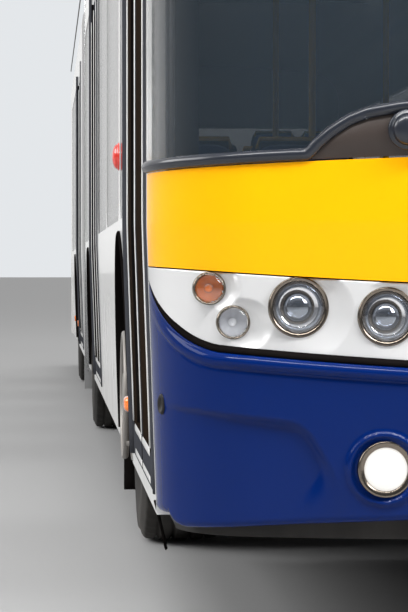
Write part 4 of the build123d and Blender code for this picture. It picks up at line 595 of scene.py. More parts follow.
STEEL = metal("bright_steel", (0.75, 0.75, 0.75), 0.22, film=0.2, strength=0.1)
CHROME = metal("lamp_chrome", (0.95, 0.95, 0.97), 0.12, strength=0.0)
BEZEL = metal("lamp_bezel", (0.20, 0.17, 0.14), 0.18, strength=0.02)
PROJECTOR = metal("projector_glass", (0.30, 0.33, 0.38), 0.03, strength=0.0)
GLASS = glazing("window_glass", (0.012, 0.016, 0.018), 0.62)
SCREEN_GLASS = glazing("screen_glass", (0.022, 0.034, 0.046), 0.42)
DOOR_GLASS = glazing("door_glass", (0.020, 0.014, 0.010), 0.95, specular=0.0, coat=0.0)
LENS = glazing("lamp_glass", (0.85, 0.88, 0.92), 0.14, metallic=1.0)
SEAT_CLOTH = cloth("seat_cloth", (0.02, 0.05, 0.17), (0.04, 0.09, 0.26))
BELLOWS_CLOTH = cloth("bellows_cloth", (0.035, 0.035, 0.04), (0.06, 0.06, 0.066), threads=600.0)


def fog_glow():
    """Bright frosted face of a fog lamp that is lit."""
    material, tree, shader = shader_material("fog_glow", (0.30, 0.30, 0.29), 0.3, Emission_Strength=0.66)
    shader.inputs["Emission Color"].default_value = (1.0, 0.97, 0.92, 1)
    ribs = noise_node(tree, 90.0, 2.0, (1, 1, 0.05))
    add_bump(tree, shader, ribs, 0.2, 0.001)
    return material


FOG_GLOW = fog_glow()

NODE_MATERIALS = {
    "upper_front_panel": YELLOW,
    "headlamp_panel": SILVER,
    "front_bumper": BLUE,
    "cowl_panel": COWL,
    "windscreen": SCREEN_GLASS,
    "front_windows": GLASS,
    "rear_windows": GLASS,
    "dashboard": TRIM,
    "steering_wheel": TRIM,
    "mirrors": TRIM,
    "front_frame": CHASSIS,
    "front_floor": CHASSIS,
    "rear_floor": CHASSIS,
    "turntable": FLOORING,
    "bellows": BELLOWS_CLOTH,
    "bellows_hoop": STEEL,
    "cab_partition": LINING,
    "front_seats": SEAT_CLOTH,
    "rear_seats": SEAT_CLOTH,
    "driver_seat": SEAT_CLOTH,
    "engine": CAST,
    "rear_lamps": RED,
}


def material_of(name):
    """Finish of a node by its name."""
    if name in NODE_MATERIALS:
        return NODE_MATERIALS[name]
    if "tyre" in name:
        return TYRE
    if name.endswith("_wheel"):
        return WHEEL_SILVER
    if name.endswith("_axle") or name.endswith("_knuckle"):
        return CHASSIS
    if name.endswith("_post"):
        return STEEL
    if name.endswith("_leaf"):
        return FRAME_GREY
    return WHITE


def pane_of(points):
    """True where a door leaf's face belongs to its pane, just under the skin."""
    insets = [skin_x(p.z) - abs(p.x) for p in points]
    return all(PANE_INSETS[0] < inset < PANE_INSETS[1] for inset in insets)


def thin_parts(data, thickness):
    """Indices of the faces that belong to a loose part thinner than the given thickness."""
    owner = list(range(len(data.vertices)))

    def root(i):
        while owner[i] != i:
            owner[i] = owner[owner[i]]
            i = owner[i]
        return i

    for a, b in (edge.vertices for edge in data.edges):
        owner[root(a)] = root(b)
    boxes = {}
    for vertex in data.vertices:
        low, high = boxes.setdefault(root(vertex.index), (list(vertex.co), list(vertex.co)))
        for k in range(3):
            low[k] = min(low[k], vertex.co[k])
            high[k] = max(high[k], vertex.co[k])
    thin = {i for i, (low, high) in boxes.items() if sorted(h - l for l, h in zip(low, high))[1] < thickness}
    return [face.index for face in data.polygons if root(face.vertices[0]) in thin]


def dress_leaf(name, data):
    """Glass in a door leaf's pane, and rubber along the edge where it meets the other leaf."""
    data.materials.append(DOOR_GLASS)
    data.materials.append(RUBBER)
    low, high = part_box(name)
    for face in data.polygons:
        from_meeting = high[1] - face.center.y if "front" in name else face.center.y - low[1]
        if pane_of([data.vertices[i].co for i in face.vertices]):
            face.material_index = 1
        elif from_meeting < MEETING_RUBBER_W:
            face.material_index = 2


def dress_nodes():
    """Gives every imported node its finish, and some of their faces a second one."""
    for name, node in nodes.items():
        data = node.data
        data.materials.clear()
        data.materials.append(material_of(name))
        if name.endswith("_leaf"):
            dress_leaf(name, data)
        if name == "cab_partition":
            data.materials.append(RAIL)
            for i in thin_parts(data, RAIL_THICKEST):
                data.polygons[i].material_index = 1
        if name == "rear_lamps":
            data.materials.append(AMBER)
            for face in data.polygons:
                if face.center.y < REAR_LAMPS_Y or face.center.z > REAR_LAMPS_TOP:
                    face.material_index = 1


# Lamps: a bezel, a plated bowl, what stands in it and a clear cover
def lamp_face(x, z, sunk):
    """Y of a lamp's front face."""
    return nose_y(x, lean(z)) + sunk


def build_lamps():
    """The lamps of the nose, one piece for each finish."""
    finishes = {
        "bezels": BEZEL,
        "bowls": CHROME,
        "covers": LENS,
        "projectors": PROJECTOR,
        "bulbs": AMBER,
        "frosts": FROST,
        "glows": FOG_GLOW,
        "caps": TRIM,
    }
    forms = {title: [] for title in finishes}
    for side in (-1, 1):
        for lamp in (*LAMPS, FOG_LAMP):
            x = side * (HALF_W - lamp.inset)
            at = (x, lamp_face(x, lamp.z, lamp.sunk), lamp.z)
            outer, lens_r, big = lamp.bezel_r, lamp.lens_r, lamp.kind == "main"
            rim = [(outer, -BEZEL_DEPTH), (outer, -0.004), (outer - 0.0015, -0.0005), (outer - 0.003, 0.0)]
            rim += [(lens_r + 0.002, -0.0015), (lens_r, -0.004), (lens_r, -0.012)]
            forms["bezels"].append(lathe(rim, at))
            back = 0.001 - BEZEL_DEPTH
            forms["caps"].append(lathe([(outer - 0.001, back), (PINHOLE, back)], at))
            deep, waist, bulge = (0.024, 0.55, 0.004) if big else (0.03, 0.08, 0.007)
            bowl = [
                (lens_r * (1 - (1 - waist) * t**1.5), -0.008 - deep * math.sin(math.pi / 2 * t))
                for t in spaced(0, 1, BOWL_STEPS)
            ]
            forms["bowls"].append(lathe(bowl, at))
            cover = lathe(dome(lens_r, -0.007, bulge, 8), at)
            forms["glows" if lamp.kind == "fog" else "covers"].append(cover)
            if big:
                r = lens_r * 0.56
                forms["projectors"].append(lathe(dome(r, -0.03, 0.021, 12), at))
                ring = [(r + 0.005, -0.034), (r + 0.004, -0.027), (r + 0.002, -0.026), (r - 0.001, -0.031)]
                forms["bezels"].append(lathe(ring, at))
            elif lamp.kind != "fog":
                bulb = lathe(dome(0.011, -0.036, 0.016, 8), at)
                forms["bulbs" if lamp.kind == "amber" else "frosts"].append(bulb)
    for title, material in finishes.items():
        replaced = "front_lamps" if title == "bezels" else None
        mesh_piece(f"lamp_{title}", join(forms[title]), material, FRONT, replaced)


# Panels of the nose: the lamp panel with its scoops, and the bumper with its rolled lip
def from_lamp(lamp, x, z):
    """Distance from the middle of a lamp, in the front view."""
    return math.hypot(HALF_W - lamp.inset - abs(x), z - lamp.z)


def scoop_reach(inboard, up, lamp):
    """How far a scoop reaches beyond the bezel, towards a place beside the lamp."""
    turn = math.atan2(up, inboard) + math.radians(lamp.direction)
    return lamp.least + (lamp.greatest - lamp.least) * (0.5 + 0.5 * math.cos(turn)) ** lamp.point


def lamp_panel_y(x, z):
    """Y of the lamp panel with the scoops around its lamps."""
    surface = nose_y(x, lean(z))
    deepest = surface
    side = 1 if x > 0 else -1
    for lamp in LAMPS:
        lamp_x = HALF_W - lamp.inset
        inboard = lamp_x - abs(x)
        up = z - lamp.z
        r = from_lamp(lamp, x, z)
        reach = scoop_reach(inboard, up, lamp)
        root = lamp.bezel_r + SCOOP_ROOT
        if r < root + reach:
            face = lamp_face(lamp_x, lamp.z, lamp.sunk) + 0.004
            edge_x = min(lamp_x - inboard / max(r, 0.001) * (root + reach), HALF_W - 0.001)
            edge = nose_y(side * edge_x, lean(z))
            share = max(0.0, (r - root) / reach)
            deepest = max(deepest, face + (edge - face) * share**1.7)
    return min(deepest, surface + DEEPEST_SCOOP)


def front_grid(heights, surface, in_hole):
    """A panel across the nose: heights(share) lists its rows from the top, in_hole(x, z) cuts it out."""
    verts = []
    for i in range(NOSE_STEPS + 1):
        share = math.sin(math.pi * (i / NOSE_STEPS - 0.5))
        rows = heights(share)
        verts += [surface(share, z, back) for z, back in rows]
    faces = []
    for a, b, c, d in grid_faces(NOSE_STEPS + 1, len(rows)):
        middle = (verts[a] + verts[c]) / 2
        if not in_hole(middle.x, middle.z):
            faces.append((a, d, c, b))
    return verts, faces


def build_lamp_panel():
    """The silver panel, open round its lamps."""

    def heights(share):
        x = share * HALF_W
        high = arched(x, *YELLOW_BOTTOM) - 0.0035
        low = lip_z(x) - 0.002 + 0.0075 * (1 - abs(share) ** 1.3)
        face = spaced(high - 0.0015, low + 0.0015, LAMP_PANEL_ROWS)
        return [(high, 0.014), (high, 0.002), *((z, 0.0) for z in face), (low, 0.002), (low, 0.014)]

    def surface(share, z, back):
        x = share * skin_x(z)
        return Vector((x, lamp_panel_y(x, z) + back, z))

    def in_hole(x, z):
        return any(from_lamp(lamp, x, z) < lamp.bezel_r - 0.007 for lamp in LAMPS)

    form = front_grid(heights, surface, in_hole)
    mesh_piece("lamp_panel_skin", form, SILVER, FRONT, "headlamp_panel")


def build_lip_gap_shade_strip():
    """Black strip set back in the gap between the lamp panel and the bumper: painted shade that darkens the
    gap.
    """
    path = []
    for i in range(121):
        x = HALF_W * math.sin(math.pi * (i / 120 - 0.5))
        path.append(Vector((x, nose_y(x), lip_z(x) + 0.003)) - nose_normal(x) * 0.008)
    strip = sweep(path, [(0.0, -0.012), (0.004, 0.0), (0.0, 0.012), (-0.004, 0.0)], nose_out)
    # The near-black rubber finish here is painted shade for the panel gap, not a part of the bus.
    mesh_piece("lip_gap_shade_strip", strip, RUBBER, FRONT)


def line_distance(line, x, z):
    """Distance below and outboard of a line in the front view."""
    (x0, z0), (x1, z1) = line
    along = math.hypot(x1 - x0, z1 - z0)
    return ((x1 - x0) * (z - z0) - (z1 - z0) * (x - x0)) / along


def bumper_form(x, z, top):
    """How proud the bumper's skin stands at a place, top being its upper edge there."""
    below = top - z
    rolled = max(0.0, min(1.0, below / LIP_H))
    roll = LIP_ROLL * math.sin(math.pi * rolled) ** 0.7
    roll -= LIP_GROOVE * math.exp(-(((below - LIP_H) / 0.003) ** 2))
    x = abs(x)
    under_step = line_distance(STEP_LINE, x, z)
    beside_slant = line_distance(SLANT_LINE, x, z)
    blend = max(STEP_SOFT - abs(under_step - beside_slant), 0) / STEP_SOFT
    inside = min(under_step, beside_slant) - blend * blend * STEP_SOFT / 4
    width = 0.008 + 0.014 * smooth_step(-1.2, -0.93, -x) + 0.13 * smooth_step(-0.46, -0.30, -z)
    sunk = STEP_DEPTH * smooth_step(0.0, width, inside)
    sunk *= 1 - 0.8 * smooth_step(1.19, 1.26, x)
    across = smooth_step(BEAD_R - BEAD_W / 2, BEAD_R + BEAD_W / 2, from_lamp(FOG_LAMP, x, z))
    bead = math.sin(math.pi * across)
    return BUMPER_PROUD + roll - sunk + BEAD_PROUD * bead


def build_bumper():
    """The blue bumper with its rolled lip, sunk field and beads round the fog lamps."""

    def heights(share):
        x = share * HALF_W
        high = lip_z(x) - 0.003
        low = arched(x, *BUMPER_BOTTOM)
        from_foot = abs(x) - (skin_x(BUMPER_BOTTOM[0]) - BUMPER_CORNER_R)
        if from_foot > 0:
            low += BUMPER_CORNER_R - math.sqrt(max(BUMPER_CORNER_R**2 - from_foot**2, 0))
        rows = [(high, 0.02), (high, 0.006)]
        rows += [(high - drop, 0.0) for drop in LIP_DROPS]
        rows += [(z, 0.0) for z in spaced(high - 0.045, low + 0.014, BUMPER_ROWS)]
        return rows + [(low + 0.008, 0.002), (low + 0.003, 0.006), (low, 0.014), (low, 0.03)]

    def surface(share, z, back):
        x = share * skin_x(z)
        proud = bumper_form(x, z, lip_z(x) - 0.003) * (1 - abs(share) ** 12)
        at = Vector((x, nose_y(x, lean(z)), z)) + nose_normal(x, lean(z)) * (proud - back)
        at.x = max(-HALF_W, min(HALF_W, at.x))
        return at

    def in_hole(x, z):
        return from_lamp(FOG_LAMP, x, z) < FOG_LAMP.bezel_r - 0.004

    form = front_grid(heights, surface, in_hole)
    mesh_piece("bumper_skin", form, BLUE, FRONT, "front_bumper")


# Cowl with the wipers, and the seal along the foot of the windscreen
def cowl_top(x):
    """Height of the cowl's upper edge at x."""
    x = abs(x)
    for (x0, z0), (x1, z1) in zip(COWL_TOP, COWL_TOP[1:]):
        if x1 <= x <= x0:
            return z0 + (z1 - z0) * (x0 - x) / (x0 - x1)
    return yellow_top(x) + 0.012


def yellow_top(x):
    """Height of the yellow panel's upper edge at x."""
    return arched(x, *YELLOW_TOP)


def seal_z(x):
    """Height of the seal's middle at x: low along the foot of the glass, up over the cowl."""
    return max(yellow_top(x) + 0.0165, cowl_top(x))


def build_cowl():
    """The crowned cowl under the windscreen."""
    reach = COWL_TOP[0][0]
    rows = 14
    steps = 160
    verts = []
    for i in range(steps + 1):
        x = reach * math.sin(math.pi * (i / steps - 0.5))
        low = yellow_top(x) + 0.004
        high = max(cowl_top(x), low + 0.001)
        crown = 0.012 * smooth_step(reach, reach - 0.12, abs(x))
        for k, z in enumerate(spaced(low, high, rows)):
            verts.append(Vector((x, nose_y(x, 0.004) - crown * math.sin(math.pi * k / rows), z)))
    faces = [(a, d, c, b) for a, b, c, d in grid_faces(steps + 1, rows + 1)]
    mesh_piece("cowl_skin", (verts, faces), COWL, FRONT, "cowl_panel")


def build_screen_seal():
    """Rubber seal along the foot of the windscreen, with more points over the cowl's shoulders."""
    xs = {HALF_W * math.sin(math.pi / 2 * i / 70) for i in range(71)}
    xs |= {COWL_TOP[0][0] - 0.01 * k for k in range(24)}
    path = [Vector((x, nose_y(x), seal_z(x))) for x in sorted(xs | {-x for x in xs})]
    seal = sweep(path, half_round(0.029, 0.014), nose_out)
    mesh_piece("screen_seal", seal, SEAL, FRONT)


def build_wipers():
    """Spindle bosses, tapered arms and blades, parked along the cowl."""
    boss = [(0.047, 0.0), (0.047, 0.012), (0.043, 0.016), (0.038, 0.016), (0.036, 0.020), (0.034, 0.031)]
    boss += [(0.030, 0.036), (0.018, 0.040), (0.008, 0.041), (PINHOLE, 0.041)]
    bosses = []
    for side in (-1, 1):
        at = (side * WIPER_X, nose_y(WIPER_X), WIPER_Z)
        bosses.append(lathe(boss, at, tuple(nose_normal(at[0])), 40))
    mesh_piece("wiper_bosses", join(bosses), SEAL, FRONT)
    for title, material, half, xs, rises, offs in (
        ("arms", TRIM, 0.011, (WIPER_X - 0.02, 0.17), (0.0, 0.012), (0.034, 0.017)),
        ("blades", RUBBER, 0.006, (0.6, 0.02), (0.03, 0.03), (0.012, 0.012)),
    ):
        section = [(-0.004, -half), (0.003, -half * 0.8), (0.005, 0), (0.003, half * 0.8), (-0.004, half)]
        bars = []
        for side in (-1, 1):
            places = zip(spaced(*xs, 24), spaced(*rises, 24), spaced(*offs, 24))
            path = [Vector((side * x, nose_y(x) - off, WIPER_Z + rise)) for x, rise, off in places]
            bars.append(sweep(path, section, nose_out))
        mesh_piece(f"wiper_{title}", join(bars), material, FRONT)


# Lamps and fittings on the sides
def build_side_repeaters():
    """A round repeater on each side."""
    domes = []
    for side, y, z in ((-1, AXLES_Y["front"], 1.265), (1, AXLES_Y["front"] - 0.9, 0.93)):
        profile = [(0.046, 0.0), (0.046, 0.004), (0.044, 0.006), *dome(0.042, 0.006, 0.018, 9)]
        domes.append(lathe(profile, (side * skin_x(z), y, z), (side, 0, 0), 40))
    mesh_piece("side_repeaters", join(domes), ORANGE_RED, FRONT)


def signed_power(value, power):
    """A power that keeps the value's sign."""
    return math.copysign(abs(value) ** power, value)


def marker_form(side, y):
    """The domed lens of a marker lamp, nearly a rectangle at its foot."""
    verts = []
    for k in range(MARKER_STEPS + 1):
        angle = math.pi / 2 * k / MARKER_STEPS
        reach = 0.2 + 0.8 * math.cos(angle) ** 0.6
        proud = MARKER_PROUD * math.sin(angle)
        for t in range(MARKER_TURNS):
            turn = 2 * math.pi * t / MARKER_TURNS
            across = signed_power(math.cos(turn), 0.45) * MARKER_HALF[0] * reach
            z = MARKER_Z + signed_power(math.sin(turn), 0.6) * MARKER_HALF[1] * reach
            verts.append(Vector((side * (skin_x(z) + proud), y + across, z)))
    faces = grid_faces(MARKER_STEPS + 1, MARKER_TURNS, closed_columns=True)
    top = len(verts)
    last = top - MARKER_TURNS
    verts.append(Vector((side * (skin_x(MARKER_Z) + MARKER_PROUD), y, MARKER_Z)))
    faces += [(last + t, last + (t + 1) % MARKER_TURNS, top) for t in range(MARKER_TURNS)]
    return verts, faces


def build_side_markers():
    """Amber marker lamps along the skirt."""
    front_y = AXLES_Y["front"] - 0.665
    lenses = [marker_form(-1, front_y), marker_form(1, front_y), marker_form(1, AXLES_Y["middle"] - 2.6)]
    mesh_piece("side_markers", join(lenses), AMBER, FRONT)


# Doors: light edges, sill strips
def upright(y, low_z, high_z, section, inset=0.0):
    """A strip that stands on the door side of the body and follows its lean."""
    path = [Vector((inset - skin_x(z), y, z)) for z in spaced(low_z, high_z, 24)]
    return sweep(path, section, DOOR_SIDE)


def build_leaf_trim():
    """Light edges and sill strips on each leaf, and a rubber guard where the two of a door meet."""
    for name in [n for n in nodes if n.endswith("_leaf")]:
        low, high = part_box(name)
        front = "front" in name
        edge_ys = (high[1] - 0.034, low[1] + 0.062) if front else (high[1] - 0.062,)
        bead = half_round(0.007, 0.004, 4)
        edges = [upright(y, low[2] + 0.12, high[2] - 0.05, bead, -0.003) for y in edge_ys]
        mesh_piece(f"{name}_edges", join(edges), WHITE, name)
        ends = (low[1] + 0.12, high[1] - 0.02) if front else (low[1] + 0.02, high[1] - 0.12)
        sill = []
        for z in (low[2] + 0.036, low[2] + 0.105):
            path = [Vector((-skin_x(z) - 0.003, y, z)) for y in spaced(*ends, 8)]
            sill.append(sweep(path, half_round(0.022, 0.0012, 4, 0.0005), DOOR_SIDE))
        mesh_piece(f"{name}_sill", join(sill), WHITE, name)
        if front:
            rubber = half_round(0.020, 0.013, 6)
            guard = upright(high[1] - 0.012, low[2] + 0.15, high[2] - 0.02, rubber, -0.002)
            mesh_piece(f"{name}_guard", guard, RUBBER, name)


def build_door_jambs():
    """Slate covers along the jambs of each doorway."""
    for door in ("door_1", "door_2", "door_3"):
        front_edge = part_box(f"{door}_front_leaf")[0][1] - 0.056
        rear_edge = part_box(f"{door}_rear_leaf")[1][1] + 0.058
        jambs = [
            upright(rear_edge, *JAMB_Z, half_round(0.046, 0.016, 6)),
            upright(front_edge, *JAMB_Z, half_round(0.036, 0.007, 6)),
        ]
        body = REAR if door == "door_3" else FRONT
        mesh_piece(f"{door}_jambs", join(jambs), FRAME_GREY, body)


# Tyres with a cut tread
def tyre_form(centre, outer_r):
    """A tyre about an axis along X, with bulged walls, round shoulders and a grooved and cut tread."""
    wall = TYRE_W / 2 - 0.001
    walls = [(RIM_R + 0.004 + t * 0.02, wall - 0.034 + t * 0.012, False) for t in spaced(0, 1, 4)]
    for t in spaced(0, 1, 8)[1:]:
        bulge = 0.022 * math.sin(math.pi * min(t * 1.15, 1) / 1.6)
        walls.append((RIM_R + 0.024 + t * (outer_r - RIM_R - 0.066), wall - 0.022 + bulge, False))
    for k in range(1, 6):
        angle = math.pi / 2 * k / 5
        r, x = outer_r - 0.042 + 0.037 * math.sin(angle), wall - 0.030 + 0.022 * math.cos(angle)
        walls.append((r, x, k > 3))
    edge = walls[-1][1]
    profile = [(r, -x, cut) for r, x, cut in walls]
    for x in spaced(edge, -edge, 40)[1:-1]:
        profile.append((outer_r - 0.005 + 0.004 * (1 - (x / edge) ** 2), -x, True))
    profile += reversed(walls)
    verts = []
    for r, x, cut in profile:
        groove = max(1 - smooth_step(0.003, 0.006, abs(x - place)) for place in TREAD_GROOVES)
        for t in range(TREAD_STEPS):
            notch = 0.0
            if abs(x) > 0.083 and t % 3 == 0:
                notch = 0.7
            if abs(x) < 0.078 and (t + (2 if x > 0 else 0)) % 5 == 0:
                notch = 0.3
            radius = r - (TREAD_DEPTH * max(groove, notch) if cut else 0)
            angle = 2 * math.pi * t / TREAD_STEPS
            spoke = Vector((x, radius * math.cos(angle), radius * math.sin(angle)))
            verts.append(Vector(centre) + spoke)
    return verts, grid_faces(len(profile), TREAD_STEPS, closed_columns=True)


def build_tyres():
    """A tyre or a pair of twin tyres on each wheel."""
    for name in [n for n in nodes if "_tyre" in n]:
        low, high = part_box(name)
        y, z = (low[1] + high[1]) / 2, (low[2] + high[2]) / 2
        xs = [(low[0] + high[0]) / 2]
        if name.endswith("tyres"):
            xs = [low[0] + TYRE_W / 2, high[0] - TYRE_W / 2]
        forms = [tyre_form((x, y, z), (high[2] - low[2]) / 2) for x in xs]
        body = name.rsplit("_", 1)[0] + "_wheel"
        mesh_piece(f"{name}_tread", join(forms), TYRE, body, name)


def build_nut_rings():
    """Ring over the nuts of each front wheel, on four stays."""
    bar = [(0.008, -0.010), (0.008, 0.010), (-0.002, 0.010), (-0.002, -0.010)]
    for side, name in ((-1, "right"), (1, "left")):
        low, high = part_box(f"{name}_front_wheel")
        face = low[0] if side < 0 else high[0]
        centre = Vector((face, (low[1] + high[1]) / 2, (low[2] + high[2]) / 2))

        def place(angle, sunk, radius):
            return centre + Vector((-side * sunk, radius * math.cos(angle), radius * math.sin(angle)))

        path = [place(2 * math.pi * k / 64, 0.006, NUT_RING_R) for k in range(64)]
        parts = [sweep(path, oval(0.010, 0.007, 10), (side, 0, 0), closed=True)]
        for k in range(4):
            angle = math.pi / 4 + math.pi / 2 * k
            stay = [(0.006, NUT_RING_R), (0.030, NUT_RING_R + 0.012), (0.055, NUT_RING_R + 0.004)]
            spoke = (0, math.cos(angle), math.sin(angle))
            parts.append(sweep([place(angle, sunk, radius) for sunk, radius in stay], bar, spoke))
        mesh_piece(f"{name}_nut_ring", join(parts), WHEEL_SILVER, f"{name}_front_wheel")


# Rubber parts near the ground, and the plug in the bumper's corner
def flap_form(side, y):
    """A rubber flap that hangs behind a wheel, bowed back towards its foot and finely ribbed."""
    front = []
    for share in spaced(0, 1, FLAP_STEPS):
        for k in range(FLAP_STEPS + 1):
            x = side * (FLAP_INNER_X + FLAP_W * k / FLAP_STEPS)
            bowed = 0.012 * share**2 + 0.0015 * (k % 2)
            front.append(Vector((x, y + bowed, FLAP_TOP - FLAP_H * share)))
    back = [p + Vector((0, FLAP_THICK, 0)) for p in front]
    width = FLAP_STEPS + 1
    count = width * width
    faces = grid_faces(width, width)
    faces += [tuple(count + i for i in reversed(face)) for face in faces]
    edge = list(range(FLAP_STEPS)) + [FLAP_STEPS + width * i for i in range(FLAP_STEPS)]
    edge += [count - 1 - i for i in edge]
    faces += [(b, a, count + a, count + b) for a, b in zip(edge, edge[1:] + edge[:1])]
    return front + back, faces


def build_mud_flaps():
    """A mud flap behind every wheel."""
    for body, axles in SECTION_AXLES.items():
        flaps = [flap_form(side, AXLES_Y[axle] + FLAP_BEHIND[axle]) for axle in axles for side in (-1, 1)]
        mesh_piece(f"{body}_mud_flaps", join(flaps), RUBBER, body)


def build_corner_blades():
    """Rubber blades that hang under the nose's corners."""
    section = [(0.002, -0.016), (0.004, 0), (0.002, 0.016), (-0.004, 0)]
    blades = []
    for side in (-1, 1):
        path = []
        for i in range(9):
            bow = 0.012 * math.sin(i / 3)
            path.append(Vector((side * (1.253 - 0.026 * i / 8), -8.50 - bow, 0.33 - 0.115 * i / 8)))
        blades.append(sweep(path, section, (side, 0, 0)))
    mesh_piece("corner_blades", join(blades), RUBBER, FRONT)


def build_bumper_plugs():
    """Oval plugs in the bumper's corners."""
    profile = [(0.01488, -0.004), (0.01488, 0.003), (0.01302, 0.006), (0.00992, 0.005)]
    profile += [(0.00868, 0.002), (0.00031, 0.001)]
    plugs = []
    for side in (-1, 1):
        at = (side * PLUG_X, nose_y(PLUG_X, lean(PLUG_Z)) - 0.005, PLUG_Z)
        verts, faces = lathe(profile, at, tuple(nose_normal(at[0])), 32)
        plugs.append(([Vector((v.x, v.y, PLUG_Z + (v.z - PLUG_Z) * 1.65)) for v in verts], faces))
    mesh_piece("bumper_plugs", join(plugs), TRIM, FRONT)


def build_arch_lips():
    """Rubber lips round the wheel arches."""
    section = [(0.006, -0.004), (0.009, 0.0), (0.006, 0.006), (-0.07, 0.006), (-0.07, -0.004)]
    arc = [(-ARCH_R, z) for z in ARCH_FEET]
    arc += [(-ARCH_R * math.cos(a), ARCH_Z + ARCH_R * math.sin(a)) for a in spaced(0, math.pi, 48)]
    arc += [(ARCH_R, z) for z in reversed(ARCH_FEET)]
    for body, axles in SECTION_AXLES.items():
        lips = []
        for axle in axles:
            for side in (-1, 1):
                path = [Vector((side * skin_x(z), AXLES_Y[axle] + along, z)) for along, z in arc]
                lips.append(sweep(path, section, (side, 0, 0)))
        mesh_piece(f"{body}_arch_lips", join(lips), RUBBER, body)


def bellows_ring(drop):
    """Points of the bellows' outline, drop inside its outer edge."""
    half = BELLOWS_HALF - drop - BELLOWS_CORNER
    low, high = BELLOWS_Z[0] + drop + BELLOWS_CORNER, BELLOWS_Z[1] - drop - BELLOWS_CORNER
    arcs = []
    for quarter, (cx, cz) in enumerate([(half, high), (-half, high), (-half, low), (half, low)]):
        angles = spaced(math.pi / 2 * quarter, math.pi / 2 * (quarter + 1), CORNER_TURNS)
        arcs.append([(cx + BELLOWS_CORNER * math.cos(a), cz + BELLOWS_CORNER * math.sin(a)) for a in angles])
    straight = QUARTER_POINTS - CORNER_TURNS
    ring = []
    for arc, following in zip(arcs, arcs[1:] + arcs[:1]):
        xs = spaced(arc[-1][0], following[0][0], straight)
        zs = spaced(arc[-1][1], following[0][1], straight)
        ring += arc + list(zip(xs, zs))[1:-1]
    return ring


def build_bellows():
    """Folded cloth with an inside and an outside, its folds shallower at the ends and over the hoop."""
    steps = 2 * FOLDS * FOLD_STEPS
    rows = []
    for i, y in enumerate(spaced(JOINT_ENDS[0] + 0.004, JOINT_ENDS[1] - 0.004, steps)):
        crest = abs(math.sin(math.pi * (i / FOLD_STEPS % 1.0))) ** 0.7
        from_hoop = abs(y - PIVOT_Y)
        crest *= 0.5 * smooth_step(0.03, 0.12, from_hoop) + 0.5 * smooth_step(0.28, 0.50, from_hoop)
        rows.append((y, FOLD_DEPTH * (1 - crest)))
    outer, inner = [], []
    for y, drop in rows:
        outer += [Vector((x, y, z)) for x, z in bellows_ring(drop)]
        inner += [Vector((x, y, z)) for x, z in bellows_ring(drop + 0.003)]
    shift = len(outer)
    count = shift // len(rows)
    faces = [tuple(reversed(face)) for face in grid_faces(len(rows), count, closed_columns=True)]
    faces += [tuple(shift + i for i in reversed(face)) for face in faces]
    last = steps * count
    for k in range(count):
        n = (k + 1) % count
        faces.append((k, shift + k, shift + n, n))
        faces.append((last + n, shift + last + n, shift + last + k, last + k))
    form = (outer + inner, faces)
    piece = mesh_piece("bellows_folds", form, BELLOWS_CLOTH, None, "bellows")
    outline = bellows_ring(FOLD_DEPTH * 0.4)
    around = sum(math.dist(outline[i - 1], outline[i]) for i in range(len(outline)))
    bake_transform(piece)


# Seats: a crowned cushion and a back pad with sewn channels, in a moulded shell
def pad(half, centre, tilt, steps=13, power=5.0, crown=0.3, channels=()):
    """A crowned closed form with its sewn channels; tilt is about X, in radians."""
    points, faces, seen = [], [], {}

    def corner(a, b, c):
        key = (round(a, 5), round(b, 5), round(c, 5))
        if key not in seen:
            r = (abs(a) ** power + abs(b) ** power + abs(c) ** power) ** (1 / power)
            x, y, z = a / r, b / r, c / r
            swell = 1 + crown * (1 - x * x) * (1 - y * y)
            for place in channels:
                swell -= 0.22 * math.exp(-(((y - place) / 0.035) ** 2)) * (1 - x**4)
            seam = 1 + 0.03 * math.exp(-((z / 0.08) ** 2))
            x *= (1 - 0.025 * (1 - y * y)) * seam
            y *= (1 - 0.02 * (1 - x * x)) * seam
            across, along, up = x * half[0], y * half[1], z * half[2] * swell
            turned_y = along * math.cos(tilt) - up * math.sin(tilt)
            turned_z = along * math.sin(tilt) + up * math.cos(tilt)
            seen[key] = len(points)
            points.append(Vector(centre) + Vector((across, turned_y, turned_z)))
        return seen[key]

    for axis in range(3):
        for sign in (-1, 1):
            for i in range(steps):
                for j in range(steps):
                    quad = []
                    for di, dj in ((0, 0), (1, 0), (1, 1), (0, 1)):
                        place = [math.tan((2 * k / steps - 1) * math.pi / 4) for k in (i + di, j + dj)]
                        place.insert(axis, sign)
                        quad.append(corner(*place))
                    flip = (sign > 0) == (axis == 1)
                    faces.append(tuple(reversed(quad)) if flip else tuple(quad))
    return points, faces


def seat_forms(x, y, z):
    """Pads and shell of one seat; y is the front edge of its cushion."""
    channels = (-0.45, 0.0, 0.45)
    level, upright_back = math.radians(-2), math.radians(81)
    pads = [
        pad((0.203, 0.205, 0.030), (x, y + 0.215, z + 0.423), level, channels=channels),
        pad((0.196, 0.295, 0.021), (x, y + 0.468, z + 0.762), upright_back, channels=channels),
    ]
    shell = [
        pad((0.212, 0.212, 0.012), (x, y + 0.222, z + 0.392), level, 9, 6.0, 0.0),
        pad((0.210, 0.316, 0.010), (x, y + 0.492, z + 0.766), upright_back, 9, 6.0, 0.0),
    ]
    return pads, shell


